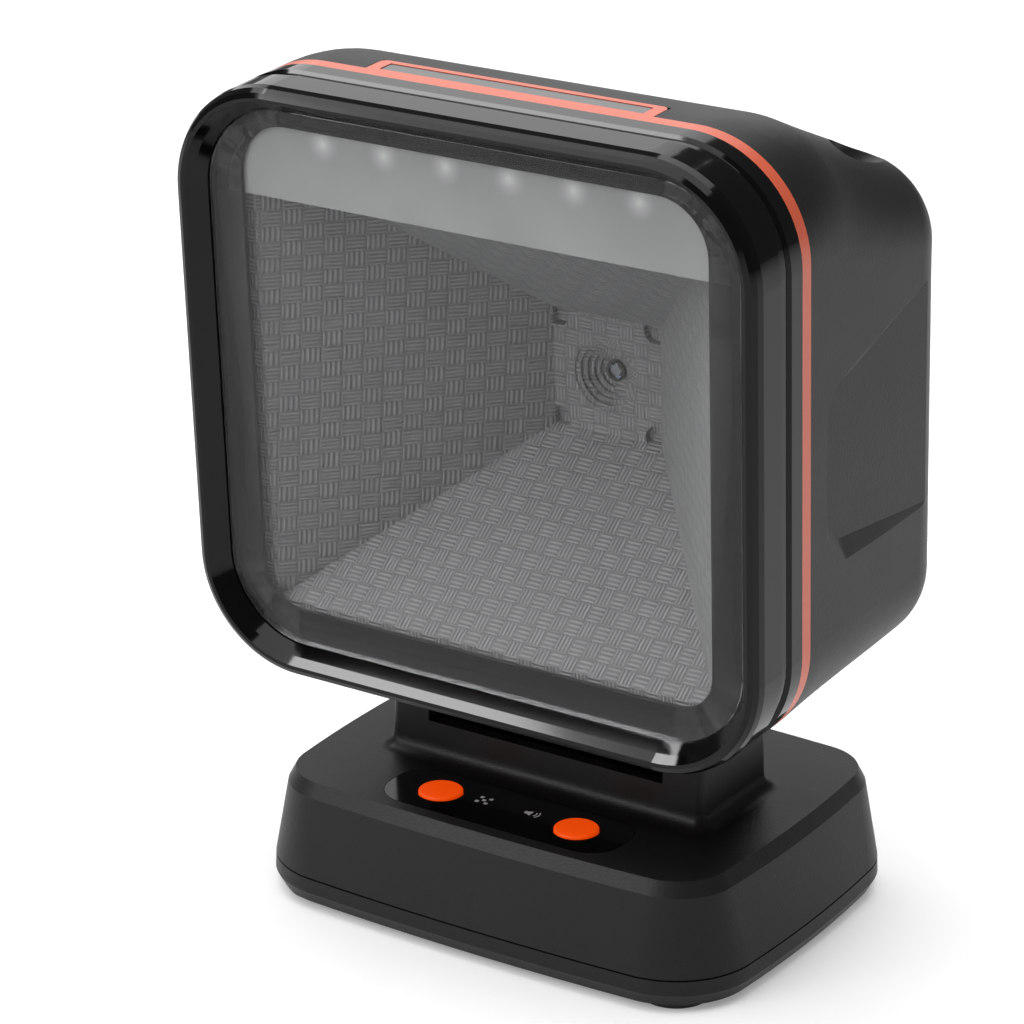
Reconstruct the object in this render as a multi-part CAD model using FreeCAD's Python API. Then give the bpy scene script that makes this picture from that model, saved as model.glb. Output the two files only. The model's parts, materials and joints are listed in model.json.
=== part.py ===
import FreeCAD, Part
import math
import os

from FreeCAD import Placement, Rotation, Vector

# A desktop presentation scanner for 2D bar codes: a square reading head with a large window,
# tilting on the short neck of a weighted base that carries two push buttons.
# Base frame: X to the right, Y towards the back, Z up, origin on the counter under the tilt axis.
# Head frame: X and Z from the centre of the head's outline, Y = 0 on the back of the window glass.
# All sizes are in millimetres.

# ---- Head: outline and bezel -------------------------------------------------------------
HEAD_W = 104.6            # outside width of the head
HEAD_H = 99.4             # outside height of the head at its front
HEAD_CORNER = 18.7        # outside corner radius of the front
LIP_FRONT = -4.7          # foremost plane of the bezel lip
BEZEL_BACK = 9.0          # bezel meets the trim ring here
TRIM_WIDTH = 2.5          # visible width of the coloured trim ring
WALL = 2.2                # moulded wall of the head shells
BEZEL_FACE = 4.4          # lip width from the outline to the glass opening
LEDGE_IN = 7.0            # inner edge of the ledge behind the glass, from the outline
LEDGE_T = 1.5             # thickness of that ledge

# ---- Window --------------------------------------------------------------------------------
GLASS_T = 1.0
GLASS_GAP = 0.25          # shadow gap all round the glass
MASK_T = 0.8              # black adhesive frame behind the glass
APERTURE_W = HEAD_W - 20.6     # clear opening of the mask
APERTURE_H = HEAD_H - 17.6
APERTURE_RISE = 1.45      # centre of the clear opening above the centre of the head
APERTURE_R_TOP = 8.8
APERTURE_R_LOW = 6.7
DIFFUSER_DROP = 12.1      # height of the light strip below the top of the opening
DIFFUSER_T = 1.2

# ---- Light tunnel and camera ---------------------------------------------------------------
TUNNEL_HALF_W = APERTURE_W / 2 - 1.0     # front opening of the tunnel
TUNNEL_TOP = HEAD_H / 2 - 13.9
TUNNEL_LOW = -HEAD_H / 2 + 10.4
TUNNEL_WALL = 1.2
TUNNEL_BACK = 38.5        # depth of the small end
EYE_Z = -5.4              # height of the optical axis
EYE_PLATE = 20.2          # side of the square back plate
EYE_PLATE_T = 1.2
CONE_R = 6.2              # first step of the lens cone
CONE_STEPS = 5
CONE_STEP_T = 0.64
LENS_R = 1.75
CAMERA_BOARD = 24.0
CAMERA_BOARD_Y = 48.6

# ---- Rear housing --------------------------------------------------------------------------
HOUSING_BACK = 60.0       # flat back of the head
HOUSING_BACK_HALF_W = HEAD_W / 2 - 1.3
HOUSING_BACK_LOW = -HEAD_H / 2 + 3.3
BACK_CORNER = 12.5        # the long edges sharpen from HEAD_CORNER to this radius
CROWN_START = 14.0        # the top starts to bend down here
CROWN_R = 34.0            # radius of that bend
CROWN_ANGLE = 26.5        # slope of the top behind the bend, degrees
BACK_ROUND = 11.5         # rounding between the walls and the back
SCOOP_DEPTH = 1.45        # finger scoops in the sides, below the widest plane of the head
SCREW_X = HEAD_W / 2 - 11.8    # four screws hold housing and bezel together
SCREW_Z_TOP = HEAD_H / 2 - 13.2
SCREW_Z_LOW = -HEAD_H / 2 + 13.7
WELL_R = 3.6              # screw wells in the housing
WELL_FLOOR = 20.0
BOSS_FRONT = 4.6
BOSS_BORE = 9.8           # the pilot holes of the housing screws start here

# ---- Top indicator -------------------------------------------------------------------------
INDICATOR_HALF_W = 25.8
INDICATOR_BACK = 16.4
INDICATOR_LENS_HALF_W = 23.5
INDICATOR_LENS_Y = (12.3, 15.1)

# ---- Tilt joint ----------------------------------------------------------------------------
HEAD_LEAN = 3.0           # forward lean of the head at rest, degrees
HINGE_Y = 27.0            # tilt axis in the head frame, behind the glass
HINGE_DROP = HEAD_H / 2 + 9.95     # and below the centre of the head
HINGE_Z = 32.0            # tilt axis above the counter
BARREL_R = 5.0
PIN_R = 2.0
RUNNING = 0.05            # radial clearance of the turning pins
BARREL_HALF_W = 22.5
CHANNEL_HALF_W = 8.0      # cable channel between the two barrels
WASHER_T = 0.6
EAR_T = 3.2
EAR_R = 5.2

# ---- Base ----------------------------------------------------------------------------------
FOOT_H = 1.6              # rubber pad, partly let into the tray
FOOT_PROUD = 1.0
FOOT_R = 6.0
FOOT_X = 34.0
FOOT_Y = 24.5
SEAM_Z = 5.9              # tray below, cover above
SHOULDER_Z = 18.9         # lower edge of the top chamfer
BASE_TOP = 21.3
SEAM_HALF = (45.4, 34.1, 14.5)       # half width, half depth and corner radius of the plan
SHOULDER_HALF = (42.6, 31.5, 10.4)
TOP_HALF = (41.3, 30.3, 9.2)
FLANK_BOW_R = 250.0       # the sides are slightly bowed in plan
FRONT_BOW_R = 550.0
BASE_WALL = 2.0
COVER_TOP_T = 2.0
TRAY_FLOOR_T = 2.0
NECK_HALF_W = 30.2
NECK_HALF_D = 10.5
NECK_TAPER = 0.5
NECK_TOP = 39.4
NECK_ROUND = 6.0
NECK_FILLET = 2.6
SLOT_HALF_W = 22.6
SLOT_LOW = 27.6

# ---- Controls ------------------------------------------------------------------------------
BUTTON_X = 13.05
BUTTON_Y = -20.8
BUTTON_R = 3.65
BUTTON_GAP = 0.25
BUTTON_PROUD = 0.35
BUTTON_TRAVEL = 0.5
PANEL_HALF = (22.2, 6.9, 5.8)
PANEL_T = 0.8
FLANGE_R = 4.7
SWITCH_SIDE = 6.2
SWITCH_H = 2.8
PLUNGER_R = 1.6
BOARD_T = 1.2

# ---- Cable socket --------------------------------------------------------------------------
SOCKET_W = 16.0
SOCKET_H = 13.0
SOCKET_D = 17.0
PORT_W = 11.8
PORT_H = 7.0
LATCH_W = 6.2
LATCH_H = 1.8
PORT_DEPTH = 13.0
SOCKET_MOUTH_Y = 31.0

# ---- Fits and fasteners --------------------------------------------------------------------
FIT = 0.15                # gap between parts that are only set into each other
SCREW_R = 1.25            # M2.5 housing and base screws
SCREW_HEAD_R = 2.4
SCREW_HEAD_H = 1.7
SMALL_SCREW_R = 0.9       # M1.8 board screws
SMALL_HEAD_R = 1.6
SMALL_HEAD_H = 1.1
HARNESS_R = 1.5
HARNESS_GAP = 0.5         # each cable half stops this far from the tilt axis

os.makedirs("parts", exist_ok=True)

HALF_W = HEAD_W / 2
HALF_H = HEAD_H / 2
TRIM_BACK = BEZEL_BACK + TRIM_WIDTH
X = Vector(1, 0, 0)
Y = Vector(0, 1, 0)
Z = Vector(0, 0, 1)
MIRROR = (-1, 1)


# ---- Small helpers -------------------------------------------------------------------------
def block(x0, x1, y0, y1, z0, z1):
    return Part.makeBox(x1 - x0, y1 - y0, z1 - z0, Vector(x0, y0, z0))


def rod(start, direction, radius, length):
    return Part.makeCylinder(radius, length, start, direction)


def fused(shapes):
    result = shapes[0]
    if len(shapes) > 1:
        result = result.multiFuse(shapes[1:])
    return result.removeSplitter()


def cut(shape, tools):
    return shape.cut(Part.makeCompound(tools)) if tools else shape


def rounded_outline(half_w, low, high, r_low, r_high, y):
    """Closed wire of an upright rounded rectangle in the plane Y = y."""
    corners = [(half_w, high, r_high, 0), (-half_w, high, r_high, 90),
               (-half_w, low, r_low, 180), (half_w, low, r_low, 270)]
    edges = []
    last = None
    first = None
    for px, pz, r, turn in corners:
        cx = px - math.copysign(r, px)
        cz = pz - r if pz == high else pz + r
        points = []
        for angle in (turn, turn + 45, turn + 90):
            a = math.radians(angle)
            points.append(Vector(cx + r * math.cos(a), y, cz + r * math.sin(a)))
        if last is None:
            first = points[0]
        else:
            edges.append(Part.makeLine(last, points[0]))
        edges.append(Part.Arc(points[0], points[1], points[2]).toShape())
        last = points[2]
    edges.append(Part.makeLine(last, first))
    return Part.Wire(edges)


def upright_slab(half_w, low, high, r_low, r_high, y0, y1):
    """Plate with a rounded rectangular outline, from y0 to y1."""
    face = Part.Face(rounded_outline(half_w, low, high, r_low, r_high, y0))
    return face.extrude(Vector(0, y1 - y0, 0))


def inset_slab(inset, y0, y1):
    """Plate with the head's front outline moved inwards by inset."""
    r = HEAD_CORNER - inset
    return upright_slab(HALF_W - inset, -HALF_H + inset, HALF_H - inset, r, r, y0, y1)


def hoop(profile):
    """Sweep a closed profile of (inset, y) points round the head's front outline."""
    path = rounded_outline(HALF_W, -HALF_H, HALF_H, HEAD_CORNER, HEAD_CORNER, 0)
    points = [Vector(HALF_W - inset, y, 0) for inset, y in profile]
    wire = Part.makePolygon(points + [points[0]])
    spine = Part.Wire(Part.__sortEdges__(path.Edges))
    sweep = Part.BRepOffsetAPI.MakePipeShell(spine)
    sweep.setBiNormalMode(Y)
    sweep.add(wire)
    sweep.build()
    sweep.makeSolid()
    return sweep.shape()


def bowed_outline(half_w, half_d, corner, z):
    """Plan of the base: four slightly bowed sides joined by tangent corner arcs."""
    front_centre = Vector(0, FRONT_BOW_R - half_d, 0)
    flank_centre = Vector(half_w - FLANK_BOW_R, 0, 0)
    reach_front = FRONT_BOW_R - corner
    reach_flank = FLANK_BOW_R - corner
    gap = front_centre.sub(flank_centre)
    span = gap.Length
    along = (span ** 2 + reach_flank ** 2 - reach_front ** 2) / (2 * span)
    aside = math.sqrt(reach_flank ** 2 - along ** 2)
    unit = gap.multiply(1 / span)
    normal = Vector(unit.y, -unit.x, 0)
    centre = flank_centre + unit * along + normal * aside
    on_front = front_centre + (centre - front_centre).normalize() * FRONT_BOW_R
    on_flank = flank_centre + (centre - flank_centre).normalize() * FLANK_BOW_R
    towards = ((on_front - centre) + (on_flank - centre)).normalize()
    middle = centre + towards * corner

    def at(p, sx, sy):
        return Vector(sx * p.x, sy * p.y, z)

    def arc(a, b, c):
        return Part.Arc(a, b, c).toShape()

    edges = [arc(at(on_front, -1, 1), Vector(0, -half_d, z), at(on_front, 1, 1)),
             arc(at(on_front, 1, 1), at(middle, 1, 1), at(on_flank, 1, 1)),
             arc(at(on_flank, 1, 1), Vector(half_w, 0, z), at(on_flank, 1, -1)),
             arc(at(on_flank, 1, -1), at(middle, 1, -1), at(on_front, 1, -1)),
             arc(at(on_front, 1, -1), Vector(0, half_d, z), at(on_front, -1, -1)),
             arc(at(on_front, -1, -1), at(middle, -1, -1), at(on_flank, -1, -1)),
             arc(at(on_flank, -1, -1), Vector(-half_w, 0, z), at(on_flank, -1, 1)),
             arc(at(on_flank, -1, 1), at(middle, -1, 1), at(on_front, -1, 1))]
    return Part.Wire(edges)


def plan_loft(lower, z0, upper, z1):
    """Solid between two plans of the base, each given as (half width, half depth, corner)."""
    return Part.makeLoft([bowed_outline(*lower, z0), bowed_outline(*upper, z1)], True, True)


def inset_plan(plan, inset):
    half_w, half_d, corner = plan
    return half_w - inset, half_d - inset, corner - inset


def flat_pill(cx, cy, half, z0, z1):
    """Rounded rectangular plate lying flat, from z0 to z1."""
    half_w, half_d, corner = half
    plate = block(cx - half_w, cx + half_w, cy - half_d, cy + half_d, z0, z1)
    uprights = [e for e in plate.Edges if abs(e.Length - (z1 - z0)) < 1e-6]
    return plate.makeFillet(corner, uprights)


def screw(tip, direction, length, shank_r, head_r, head_h):
    """Pan-head screw with a cross recess; tip is the end of the shank, direction points to the head."""
    shank = rod(tip, direction, shank_r, length)
    seat = tip + direction * length
    head = rod(seat, direction, head_r, head_h)
    body = fused([shank, head])
    rim = [e for e in body.Edges if abs(e.Length - 2 * math.pi * head_r) < 1e-6
           and abs((e.CenterOfMass - seat).Length - head_h) < 1e-6]
    body = body.makeFillet(head_h * 0.45, rim)
    arm = head_r * 0.6
    slot_w = head_r * 0.26
    deep = head_h * 0.55
    recess = [Part.makeBox(2 * arm, slot_w, deep, Vector(-arm, -slot_w / 2, 0)),
              Part.makeBox(slot_w, 2 * arm, deep, Vector(-slot_w / 2, -arm, 0))]
    cross = fused(recess)
    cross.Placement = Placement(seat + direction * (head_h - deep), Rotation(Z, direction))
    return body.cut(cross)


def tube_run(points, radius, bend):
    """Round cable of the given radius through points, with tangent bends of one radius."""
    edges = []
    start = points[0]
    for before, corner, after in zip(points, points[1:], points[2:]):
        way_in = (corner - before).normalize()
        way_out = (after - corner).normalize()
        half_turn = way_in.getAngle(way_out) / 2
        trim = bend * math.tan(half_turn)
        a = corner - way_in * trim
        b = corner + way_out * trim
        inward = (way_out - way_in).normalize()
        middle = corner + inward * (bend / math.cos(half_turn) - bend)
        edges.append(Part.makeLine(start, a))
        edges.append(Part.Arc(a, middle, b).toShape())
        start = b
    edges.append(Part.makeLine(start, points[-1]))
    path = Part.Wire(edges)
    section = Part.Wire(Part.makeCircle(radius, points[0], (points[1] - points[0]).normalize()))
    return path.makePipeShell([section], True, False)


def to_base(shape):
    """Carry a shape from the head frame to its rest place on the base."""
    moved = shape.copy()
    moved.translate(Vector(0, -HINGE_Y, HINGE_DROP))
    moved.rotate(Vector(0, 0, 0), X, HEAD_LEAN)
    moved.translate(Vector(0, 0, HINGE_Z))
    return moved


def save(name, shapes, on_head=False):
    """Write one named piece; a list of solids is one group of equal pieces."""
    shapes = shapes if isinstance(shapes, list) else [shapes]
    placed = [to_base(s) if on_head else s for s in shapes]
    solids = [s for shape in placed for s in shape.Solids]
    result = solids[0] if len(solids) == 1 else Part.makeCompound(solids)
    if not result.isValid():
        print("invalid shape:", name)
    result.exportStep(os.path.join("parts", name + ".step"))
    print("%-24s %3d solid(s) %10.1f mm3" % (name, len(solids), result.Volume))


# ---- Front bezel ---------------------------------------------------------------------------
def front_bezel():
    profile = [(0.0, BEZEL_BACK), (0.0, 5.8), (0.5, 5.3), (0.5, 3.3), (0.0, 2.8),
               (0.1, -2.2), (0.35, -3.4), (0.9, -4.3), (1.7, LIP_FRONT), (2.3, LIP_FRONT + 0.1),
               (3.3, -3.1), (BEZEL_FACE, -GLASS_T - 0.2), (BEZEL_FACE, MASK_T),
               (LEDGE_IN, MASK_T), (LEDGE_IN, MASK_T + LEDGE_T), (WALL, MASK_T + LEDGE_T),
               (WALL, BEZEL_BACK)]
    pieces = [hoop(profile)]
    for sx in MIRROR:
        for z in (SCREW_Z_TOP, SCREW_Z_LOW):
            pieces.append(corner_boss(sx, z, BOSS_FRONT, WELL_FLOOR - WALL - FIT, 3.2))
        for z in STAKE_Z:
            foot = Vector(sx * STAKE_X, MASK_T + LEDGE_T - 0.2, z)
            pieces.append(rod(foot, Y, STAKE_R, TUNNEL_WALL + 0.4))
            pieces.append(rod(foot + Y * (TUNNEL_WALL + 0.2), Y, STAKE_R + 0.7, 0.6))
    bores = [rod(Vector(sx * SCREW_X, BOSS_BORE, z), Y, SCREW_R, 20)
             for sx in MIRROR for z in (SCREW_Z_TOP, SCREW_Z_LOW)]
    return cut(fused(pieces), bores)


def corner_boss(sx, z, y0, y1, radius):
    """Screw boss with a web to the bezel's corner wall, trimmed clear of the light tunnel."""
    post = rod(Vector(sx * SCREW_X, y0, z), Y, radius, y1 - y0)
    web = block(0, 14.0, y0, TRIM_LIP_FRONT - 0.1, -1.0, 1.0)
    angle = math.degrees(math.atan2(math.copysign(1, z), sx))
    web.rotate(Vector(0, 0, 0), Y, -angle)
    web.translate(Vector(sx * SCREW_X, 0, z))
    web = web.common(inset_slab(WALL / 2, y0 - 1, y1))
    clear_of_tunnel = tunnel_loft(TUNNEL_SLOPE_WALL + 0.3, TUNNEL_FRONT, TUNNEL_BACK)
    return fused([post, web]).cut(clear_of_tunnel)


# ---- Window, mask and light strip ----------------------------------------------------------
def window_glass():
    return inset_slab(BEZEL_FACE + GLASS_GAP, -GLASS_T, 0)


def aperture_slab(grow, y0, y1):
    half_w = APERTURE_W / 2 + grow
    low = APERTURE_RISE - APERTURE_H / 2 - grow
    high = APERTURE_RISE + APERTURE_H / 2 + grow
    return upright_slab(half_w, low, high, APERTURE_R_LOW + grow, APERTURE_R_TOP + grow, y0, y1)


def window_mask():
    return inset_slab(BEZEL_FACE + FIT, 0, MASK_T).cut(aperture_slab(0, -1, MASK_T + 1))


def diffuser_panel():
    top = APERTURE_RISE + APERTURE_H / 2
    y0 = MASK_T
    strip = block(-HALF_W + LEDGE_IN + FIT, HALF_W - LEDGE_IN - FIT, y0, y0 + DIFFUSER_T,
                  top - DIFFUSER_DROP, top)
    corner = inset_slab(LEDGE_IN + FIT, y0 - 1, y0 + DIFFUSER_T + 1)
    return strip.common(corner)


# ---- Light tunnel --------------------------------------------------------------------------
TUNNEL_FRONT = MASK_T + LEDGE_T
TUNNEL_SLOPE_WALL = TUNNEL_WALL * 1.3
TRIM_LIP_FRONT = BEZEL_BACK - 1.4
STAKE_X = HALF_W - 5.6    # heat stakes of the bezel hold the tunnel's flange
STAKE_Z = (13.0, -18.0)
STAKE_R = 1.0
CARRIER_X = 33.5          # two posts on the tunnel carry the illumination board


def tunnel_wire(grow, y):
    """Rectangle of the tunnel at depth y, moved outwards by grow."""
    t = (y - TUNNEL_FRONT) / (TUNNEL_BACK - TUNNEL_FRONT)
    half_w = TUNNEL_HALF_W + (EYE_PLATE / 2 - TUNNEL_HALF_W) * t + grow
    top = TUNNEL_TOP + (EYE_Z + EYE_PLATE / 2 - TUNNEL_TOP) * t + grow
    low = TUNNEL_LOW + (EYE_Z - EYE_PLATE / 2 - TUNNEL_LOW) * t - grow
    points = [Vector(-half_w, y, low), Vector(half_w, y, low), Vector(half_w, y, top),
              Vector(-half_w, y, top)]
    return Part.makePolygon(points + [points[0]])


def tunnel_loft(grow, y0, y1):
    return Part.makeLoft([tunnel_wire(grow, y0), tunnel_wire(grow, y1)], True, True)


def light_tunnel():
    outer = tunnel_loft(TUNNEL_SLOPE_WALL, TUNNEL_FRONT, TUNNEL_BACK + EYE_PLATE_T)
    flange = block(-HALF_W, HALF_W, TUNNEL_FRONT, TUNNEL_FRONT + TUNNEL_WALL,
                   -HALF_H, TUNNEL_TOP + TUNNEL_SLOPE_WALL)
    flange = flange.common(inset_slab(WALL + 0.8, TUNNEL_FRONT - 1, TUNNEL_FRONT + 3))
    ears = [block(sx * CARRIER_X - 2.0, sx * CARRIER_X + 2.0, TUNNEL_FRONT + 0.2, LIGHT_BOARD_Y,
                  TUNNEL_TOP - 1.0, LIGHT_Z + 2.6) for sx in MIRROR]
    for sx in MIRROR:
        for sz in MIRROR:
            ears.append(rod(Vector(sx * 9.2, TUNNEL_BACK - 5, EYE_Z + sz * 9.2), Y, 2.0,
                            CAMERA_BOARD_Y - TUNNEL_BACK + 5))
    shell = fused([outer, flange] + ears)
    inside = tunnel_loft(0, TUNNEL_FRONT, TUNNEL_BACK)
    pocket = block(-EYE_PLATE / 2, EYE_PLATE / 2, TUNNEL_BACK - 0.01, TUNNEL_BACK + EYE_PLATE_T + 0.01,
                   EYE_Z - EYE_PLATE / 2, EYE_Z + EYE_PLATE / 2)
    bores = [rod(Vector(sx * 9.2, CAMERA_BOARD_Y - 5, EYE_Z + sz * 9.2), Y, SMALL_SCREW_R, 20)
             for sx in MIRROR for sz in MIRROR]
    bores += [rod(Vector(sx * CARRIER_X, TUNNEL_FRONT + 0.5, LIGHT_Z), Y, SMALL_SCREW_R, 5)
              for sx in MIRROR]
    bores += [rod(Vector(sx * STAKE_X, 0, z), Y, STAKE_R + 0.1, 9) for sx in MIRROR for z in STAKE_Z]
    return cut(shell, [inside, pocket] + bores)


def lens_shroud():
    """Square back plate whose centre steps back in rings to the lens."""
    half = EYE_PLATE / 2
    y0 = TUNNEL_BACK
    plate = block(-half, half, y0, y0 + EYE_PLATE_T, EYE_Z - half, EYE_Z + half)
    notches = [rod(Vector(sx * 9.2, y0 - 1, EYE_Z + sz * 9.2), Y, 2.0 + FIT, 4)
               for sx in MIRROR for sz in MIRROR]
    plate = cut(plate, notches)
    depth = CONE_STEPS * CONE_STEP_T
    hub = rod(Vector(0, y0, EYE_Z), Y, CONE_R + 1.0, depth)
    ring_w = (CONE_R - LENS_R - FIT) / CONE_STEPS
    steps = []
    for i in range(CONE_STEPS):
        steps.append(rod(Vector(0, y0 - 1, EYE_Z), Y, CONE_R - i * ring_w, 1 + (i + 1) * CONE_STEP_T - 0.3))
    steps.append(rod(Vector(0, y0, EYE_Z), Y, LENS_R + FIT, depth + 1))
    return cut(fused([plate, hub]), steps)


# ---- Camera module -------------------------------------------------------------------------
BARREL_FRONT = TUNNEL_BACK + CONE_STEPS * CONE_STEP_T + 0.1


def lens_barrel():
    body = rod(Vector(0, BARREL_FRONT, EYE_Z), Y, 3.5, 4.2)
    nose = rod(Vector(0, BARREL_FRONT - 0.9, EYE_Z), Y, LENS_R, 0.9 + 0.1)
    barrel = fused([body, nose])
    return cut(barrel, [rod(Vector(0, BARREL_FRONT - 2, EYE_Z), Y, LENS_R - 0.3, 2.6),
                        rod(Vector(0, BARREL_FRONT + 0.6, EYE_Z), Y, 2.4, 5)])


def camera_lens():
    """Front element: a shallow dome that sits in the nose of the barrel."""
    disc = rod(Vector(0, BARREL_FRONT - 0.7, EYE_Z), Y, LENS_R - 0.3, 1.2)
    dome = Part.makeSphere(2.2, Vector(0, BARREL_FRONT + 1.3, EYE_Z))
    return disc.common(dome)


def camera_holder():
    half = 6.0
    y0 = BARREL_FRONT + 1.5
    body = block(-half, half, y0, CAMERA_BOARD_Y, EYE_Z - half, EYE_Z + half)
    bore = rod(Vector(0, y0 - 1, EYE_Z), Y, 3.5, 20)
    chamber = block(-4.4, 4.4, y0 + 3.0, CAMERA_BOARD_Y + 1, EYE_Z - 4.4, EYE_Z + 4.4)
    return cut(body, [bore, chamber])


def image_sensor():
    y1 = CAMERA_BOARD_Y
    return block(-3.6, 3.6, y1 - 0.8, y1, EYE_Z - 3.0, EYE_Z + 3.0)


def camera_board():
    half = CAMERA_BOARD / 2
    plate = block(-half, half, CAMERA_BOARD_Y, CAMERA_BOARD_Y + BOARD_T, EYE_Z - half, EYE_Z + half)
    holes = [rod(Vector(sx * 9.2, CAMERA_BOARD_Y - 1, EYE_Z + sz * 9.2), Y, SMALL_SCREW_R + 0.1, 5)
             for sx in MIRROR for sz in MIRROR]
    return cut(plate, holes)


def camera_screws():
    seat = CAMERA_BOARD_Y + BOARD_T
    return [screw(Vector(sx * 9.2, seat - 4.4, EYE_Z + sz * 9.2), Y, 4.4,
                  SMALL_SCREW_R, SMALL_HEAD_R, SMALL_HEAD_H) for sx in MIRROR for sz in MIRROR]


# ---- Illumination --------------------------------------------------------------------------
LED_PITCH = 11.3
LED_COUNT = 6
LIGHT_BOARD_Y = 5.2
LIGHT_Z = HALF_H - 10.1


def illumination_board():
    plate = block(-36.0, 36.0, LIGHT_BOARD_Y, LIGHT_BOARD_Y + BOARD_T, LIGHT_Z - 1.7, LIGHT_Z + 3.2)
    return cut(plate, [rod(Vector(sx * CARRIER_X, LIGHT_BOARD_Y - 1, LIGHT_Z), Y, SMALL_SCREW_R + 0.1, 5)
                       for sx in MIRROR])


def illumination_screws():
    seat = LIGHT_BOARD_Y + BOARD_T
    return [screw(Vector(sx * CARRIER_X, seat - 3.6, LIGHT_Z), Y, 3.6,
                  SMALL_SCREW_R, SMALL_HEAD_R, SMALL_HEAD_H) for sx in MIRROR]


def illumination_leds():
    leds = []
    for i in range(LED_COUNT):
        x = (i - (LED_COUNT - 1) / 2) * LED_PITCH
        body = block(x - 1.75, x + 1.75, LIGHT_BOARD_Y - 0.8, LIGHT_BOARD_Y, LIGHT_Z - 1.4, LIGHT_Z + 1.4)
        dome = Part.makeSphere(1.1, Vector(x, LIGHT_BOARD_Y - 0.8, LIGHT_Z), Y * -1, 0, 90)
        leds.append(fused([body, dome]))
    return leds


# ---- Trim ring and indicator ---------------------------------------------------------------
def trim_ring():
    """Coloured ring between the shells, with an inner lip and the indicator frame on top."""
    ring = hoop([(0, BEZEL_BACK), (0, TRIM_BACK), (WALL + FIT, TRIM_BACK),
                 (WALL + FIT, TRIM_BACK + 1.4), (WALL + 1.1, TRIM_BACK + 1.4), (WALL + 1.1, TRIM_LIP_FRONT),
                 (WALL, TRIM_LIP_FRONT), (WALL, BEZEL_BACK)])
    frame = block(-INDICATOR_HALF_W, INDICATOR_HALF_W, TRIM_BACK - 0.6, INDICATOR_BACK,
                  HALF_H - WALL, HALF_H)
    far_corners = [e for e in frame.Edges if abs(e.Length - WALL) < 1e-6
                   and e.CenterOfMass.y > TRIM_BACK]
    frame = frame.makeFillet(1.2, far_corners)
    legs = [block(sx * 24.2 - 0.7, sx * 24.2 + 0.7, 12.4, 15.0, INDICATOR_BOARD_Z, HALF_H - WALL + 0.1)
            for sx in MIRROR]
    y0, y1 = INDICATOR_LENS_Y
    window = block(-INDICATOR_LENS_HALF_W - FIT, INDICATOR_LENS_HALF_W + FIT, y0 - FIT, y1 + FIT,
                   HALF_H - WALL - 2.6, HALF_H + 1)
    return fused([ring, frame] + legs).cut(window)


INDICATOR_BOARD_Z = HALF_H - 5.6


def indicator_lens():
    y0, y1 = INDICATOR_LENS_Y
    bar = block(-INDICATOR_LENS_HALF_W, INDICATOR_LENS_HALF_W, y0, y1, HALF_H - 1.5, HALF_H - 0.1)
    corners = [e for e in bar.Edges if abs(e.Length - 1.4) < 1e-6]
    return bar.makeFillet(0.6, corners)


def indicator_light_guide():
    y0, y1 = INDICATOR_LENS_Y
    return block(-22.0, 22.0, y0 + 0.3, y1 - 0.3, INDICATOR_BOARD_Z + 0.9, HALF_H - 1.5)


def indicator_leds():
    y = sum(INDICATOR_LENS_Y) / 2
    return [block(x - 1.0, x + 1.0, y - 0.6, y + 0.6, INDICATOR_BOARD_Z, INDICATOR_BOARD_Z + 0.9)
            for x in (-14.0, 0.0, 14.0)]


def indicator_board():
    return block(-25.0, 25.0, 11.4, 16.0, INDICATOR_BOARD_Z - 0.8, INDICATOR_BOARD_Z)


# ---- Rear housing --------------------------------------------------------------------------
def side_profile(inset):
    """Prism across the head whose top runs level, bends down and falls straight to the back."""
    bend = math.radians(CROWN_ANGLE)
    radius = CROWN_R - inset
    front = TRIM_BACK - 1
    back = HOUSING_BACK - inset
    low = -HALF_H - 20
    centre = Vector(0, CROWN_START, HALF_H - CROWN_R)

    def on_arc(angle):
        return centre + Vector(0, radius * math.sin(angle), radius * math.cos(angle))

    start = on_arc(0)
    finish = on_arc(bend)
    end = Vector(0, back, finish.z - (back - finish.y) * math.tan(bend))
    corners = [end, Vector(0, back, low), Vector(0, front, low), Vector(0, front, start.z), start]
    edges = [Part.makeLine(p, q) for p, q in zip(corners, corners[1:])]
    edges += [Part.Arc(start, on_arc(bend / 2), finish).toShape(), Part.makeLine(finish, end)]
    face = Part.Face(Part.Wire(edges))
    face.translate(Vector(-HEAD_W, 0, 0))
    return face.extrude(Vector(2 * HEAD_W, 0, 0))


def housing_section(y, inset):
    """Square-cornered section of the housing at depth y, open-ended above the crown."""
    t = (y - TRIM_BACK) / (HOUSING_BACK - TRIM_BACK)
    half_w = HALF_W + (HOUSING_BACK_HALF_W - HALF_W) * t - inset
    low = -HALF_H + (HOUSING_BACK_LOW + HALF_H) * t + inset
    points = [Vector(-half_w, y, low), Vector(half_w, y, low), Vector(half_w, y, HEAD_H),
              Vector(-half_w, y, HEAD_H)]
    return Part.makePolygon(points + [points[0]])


def housing_solid(inset):
    """Tapered body of the housing, moved inwards by inset, with all its corners rounded."""
    ends = [housing_section(TRIM_BACK, inset), housing_section(HOUSING_BACK + 5, inset)]
    body = Part.makeLoft(ends, True, True).common(side_profile(inset))
    for sx in MIRROR:
        for top in (True, False):
            side = [e for e in body.Edges if e.BoundBox.YLength > 1 and abs(e.CenterOfMass.z) > 30
                    and abs(e.CenterOfMass.x - sx * (HALF_W - inset)) < 3]
            chain = [e for e in side if (e.CenterOfMass.z > 20) == top]
            longest = max(chain, key=lambda e: e.Length)
            body = body.makeFillet(HEAD_CORNER - inset, BACK_CORNER - inset, [longest])
    back = HOUSING_BACK - inset
    rim = [f for f in body.Faces if abs(f.CenterOfMass.y - back) < 1e-3][0].Edges
    return body.makeFillet(BACK_ROUND - inset, rim)


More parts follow.
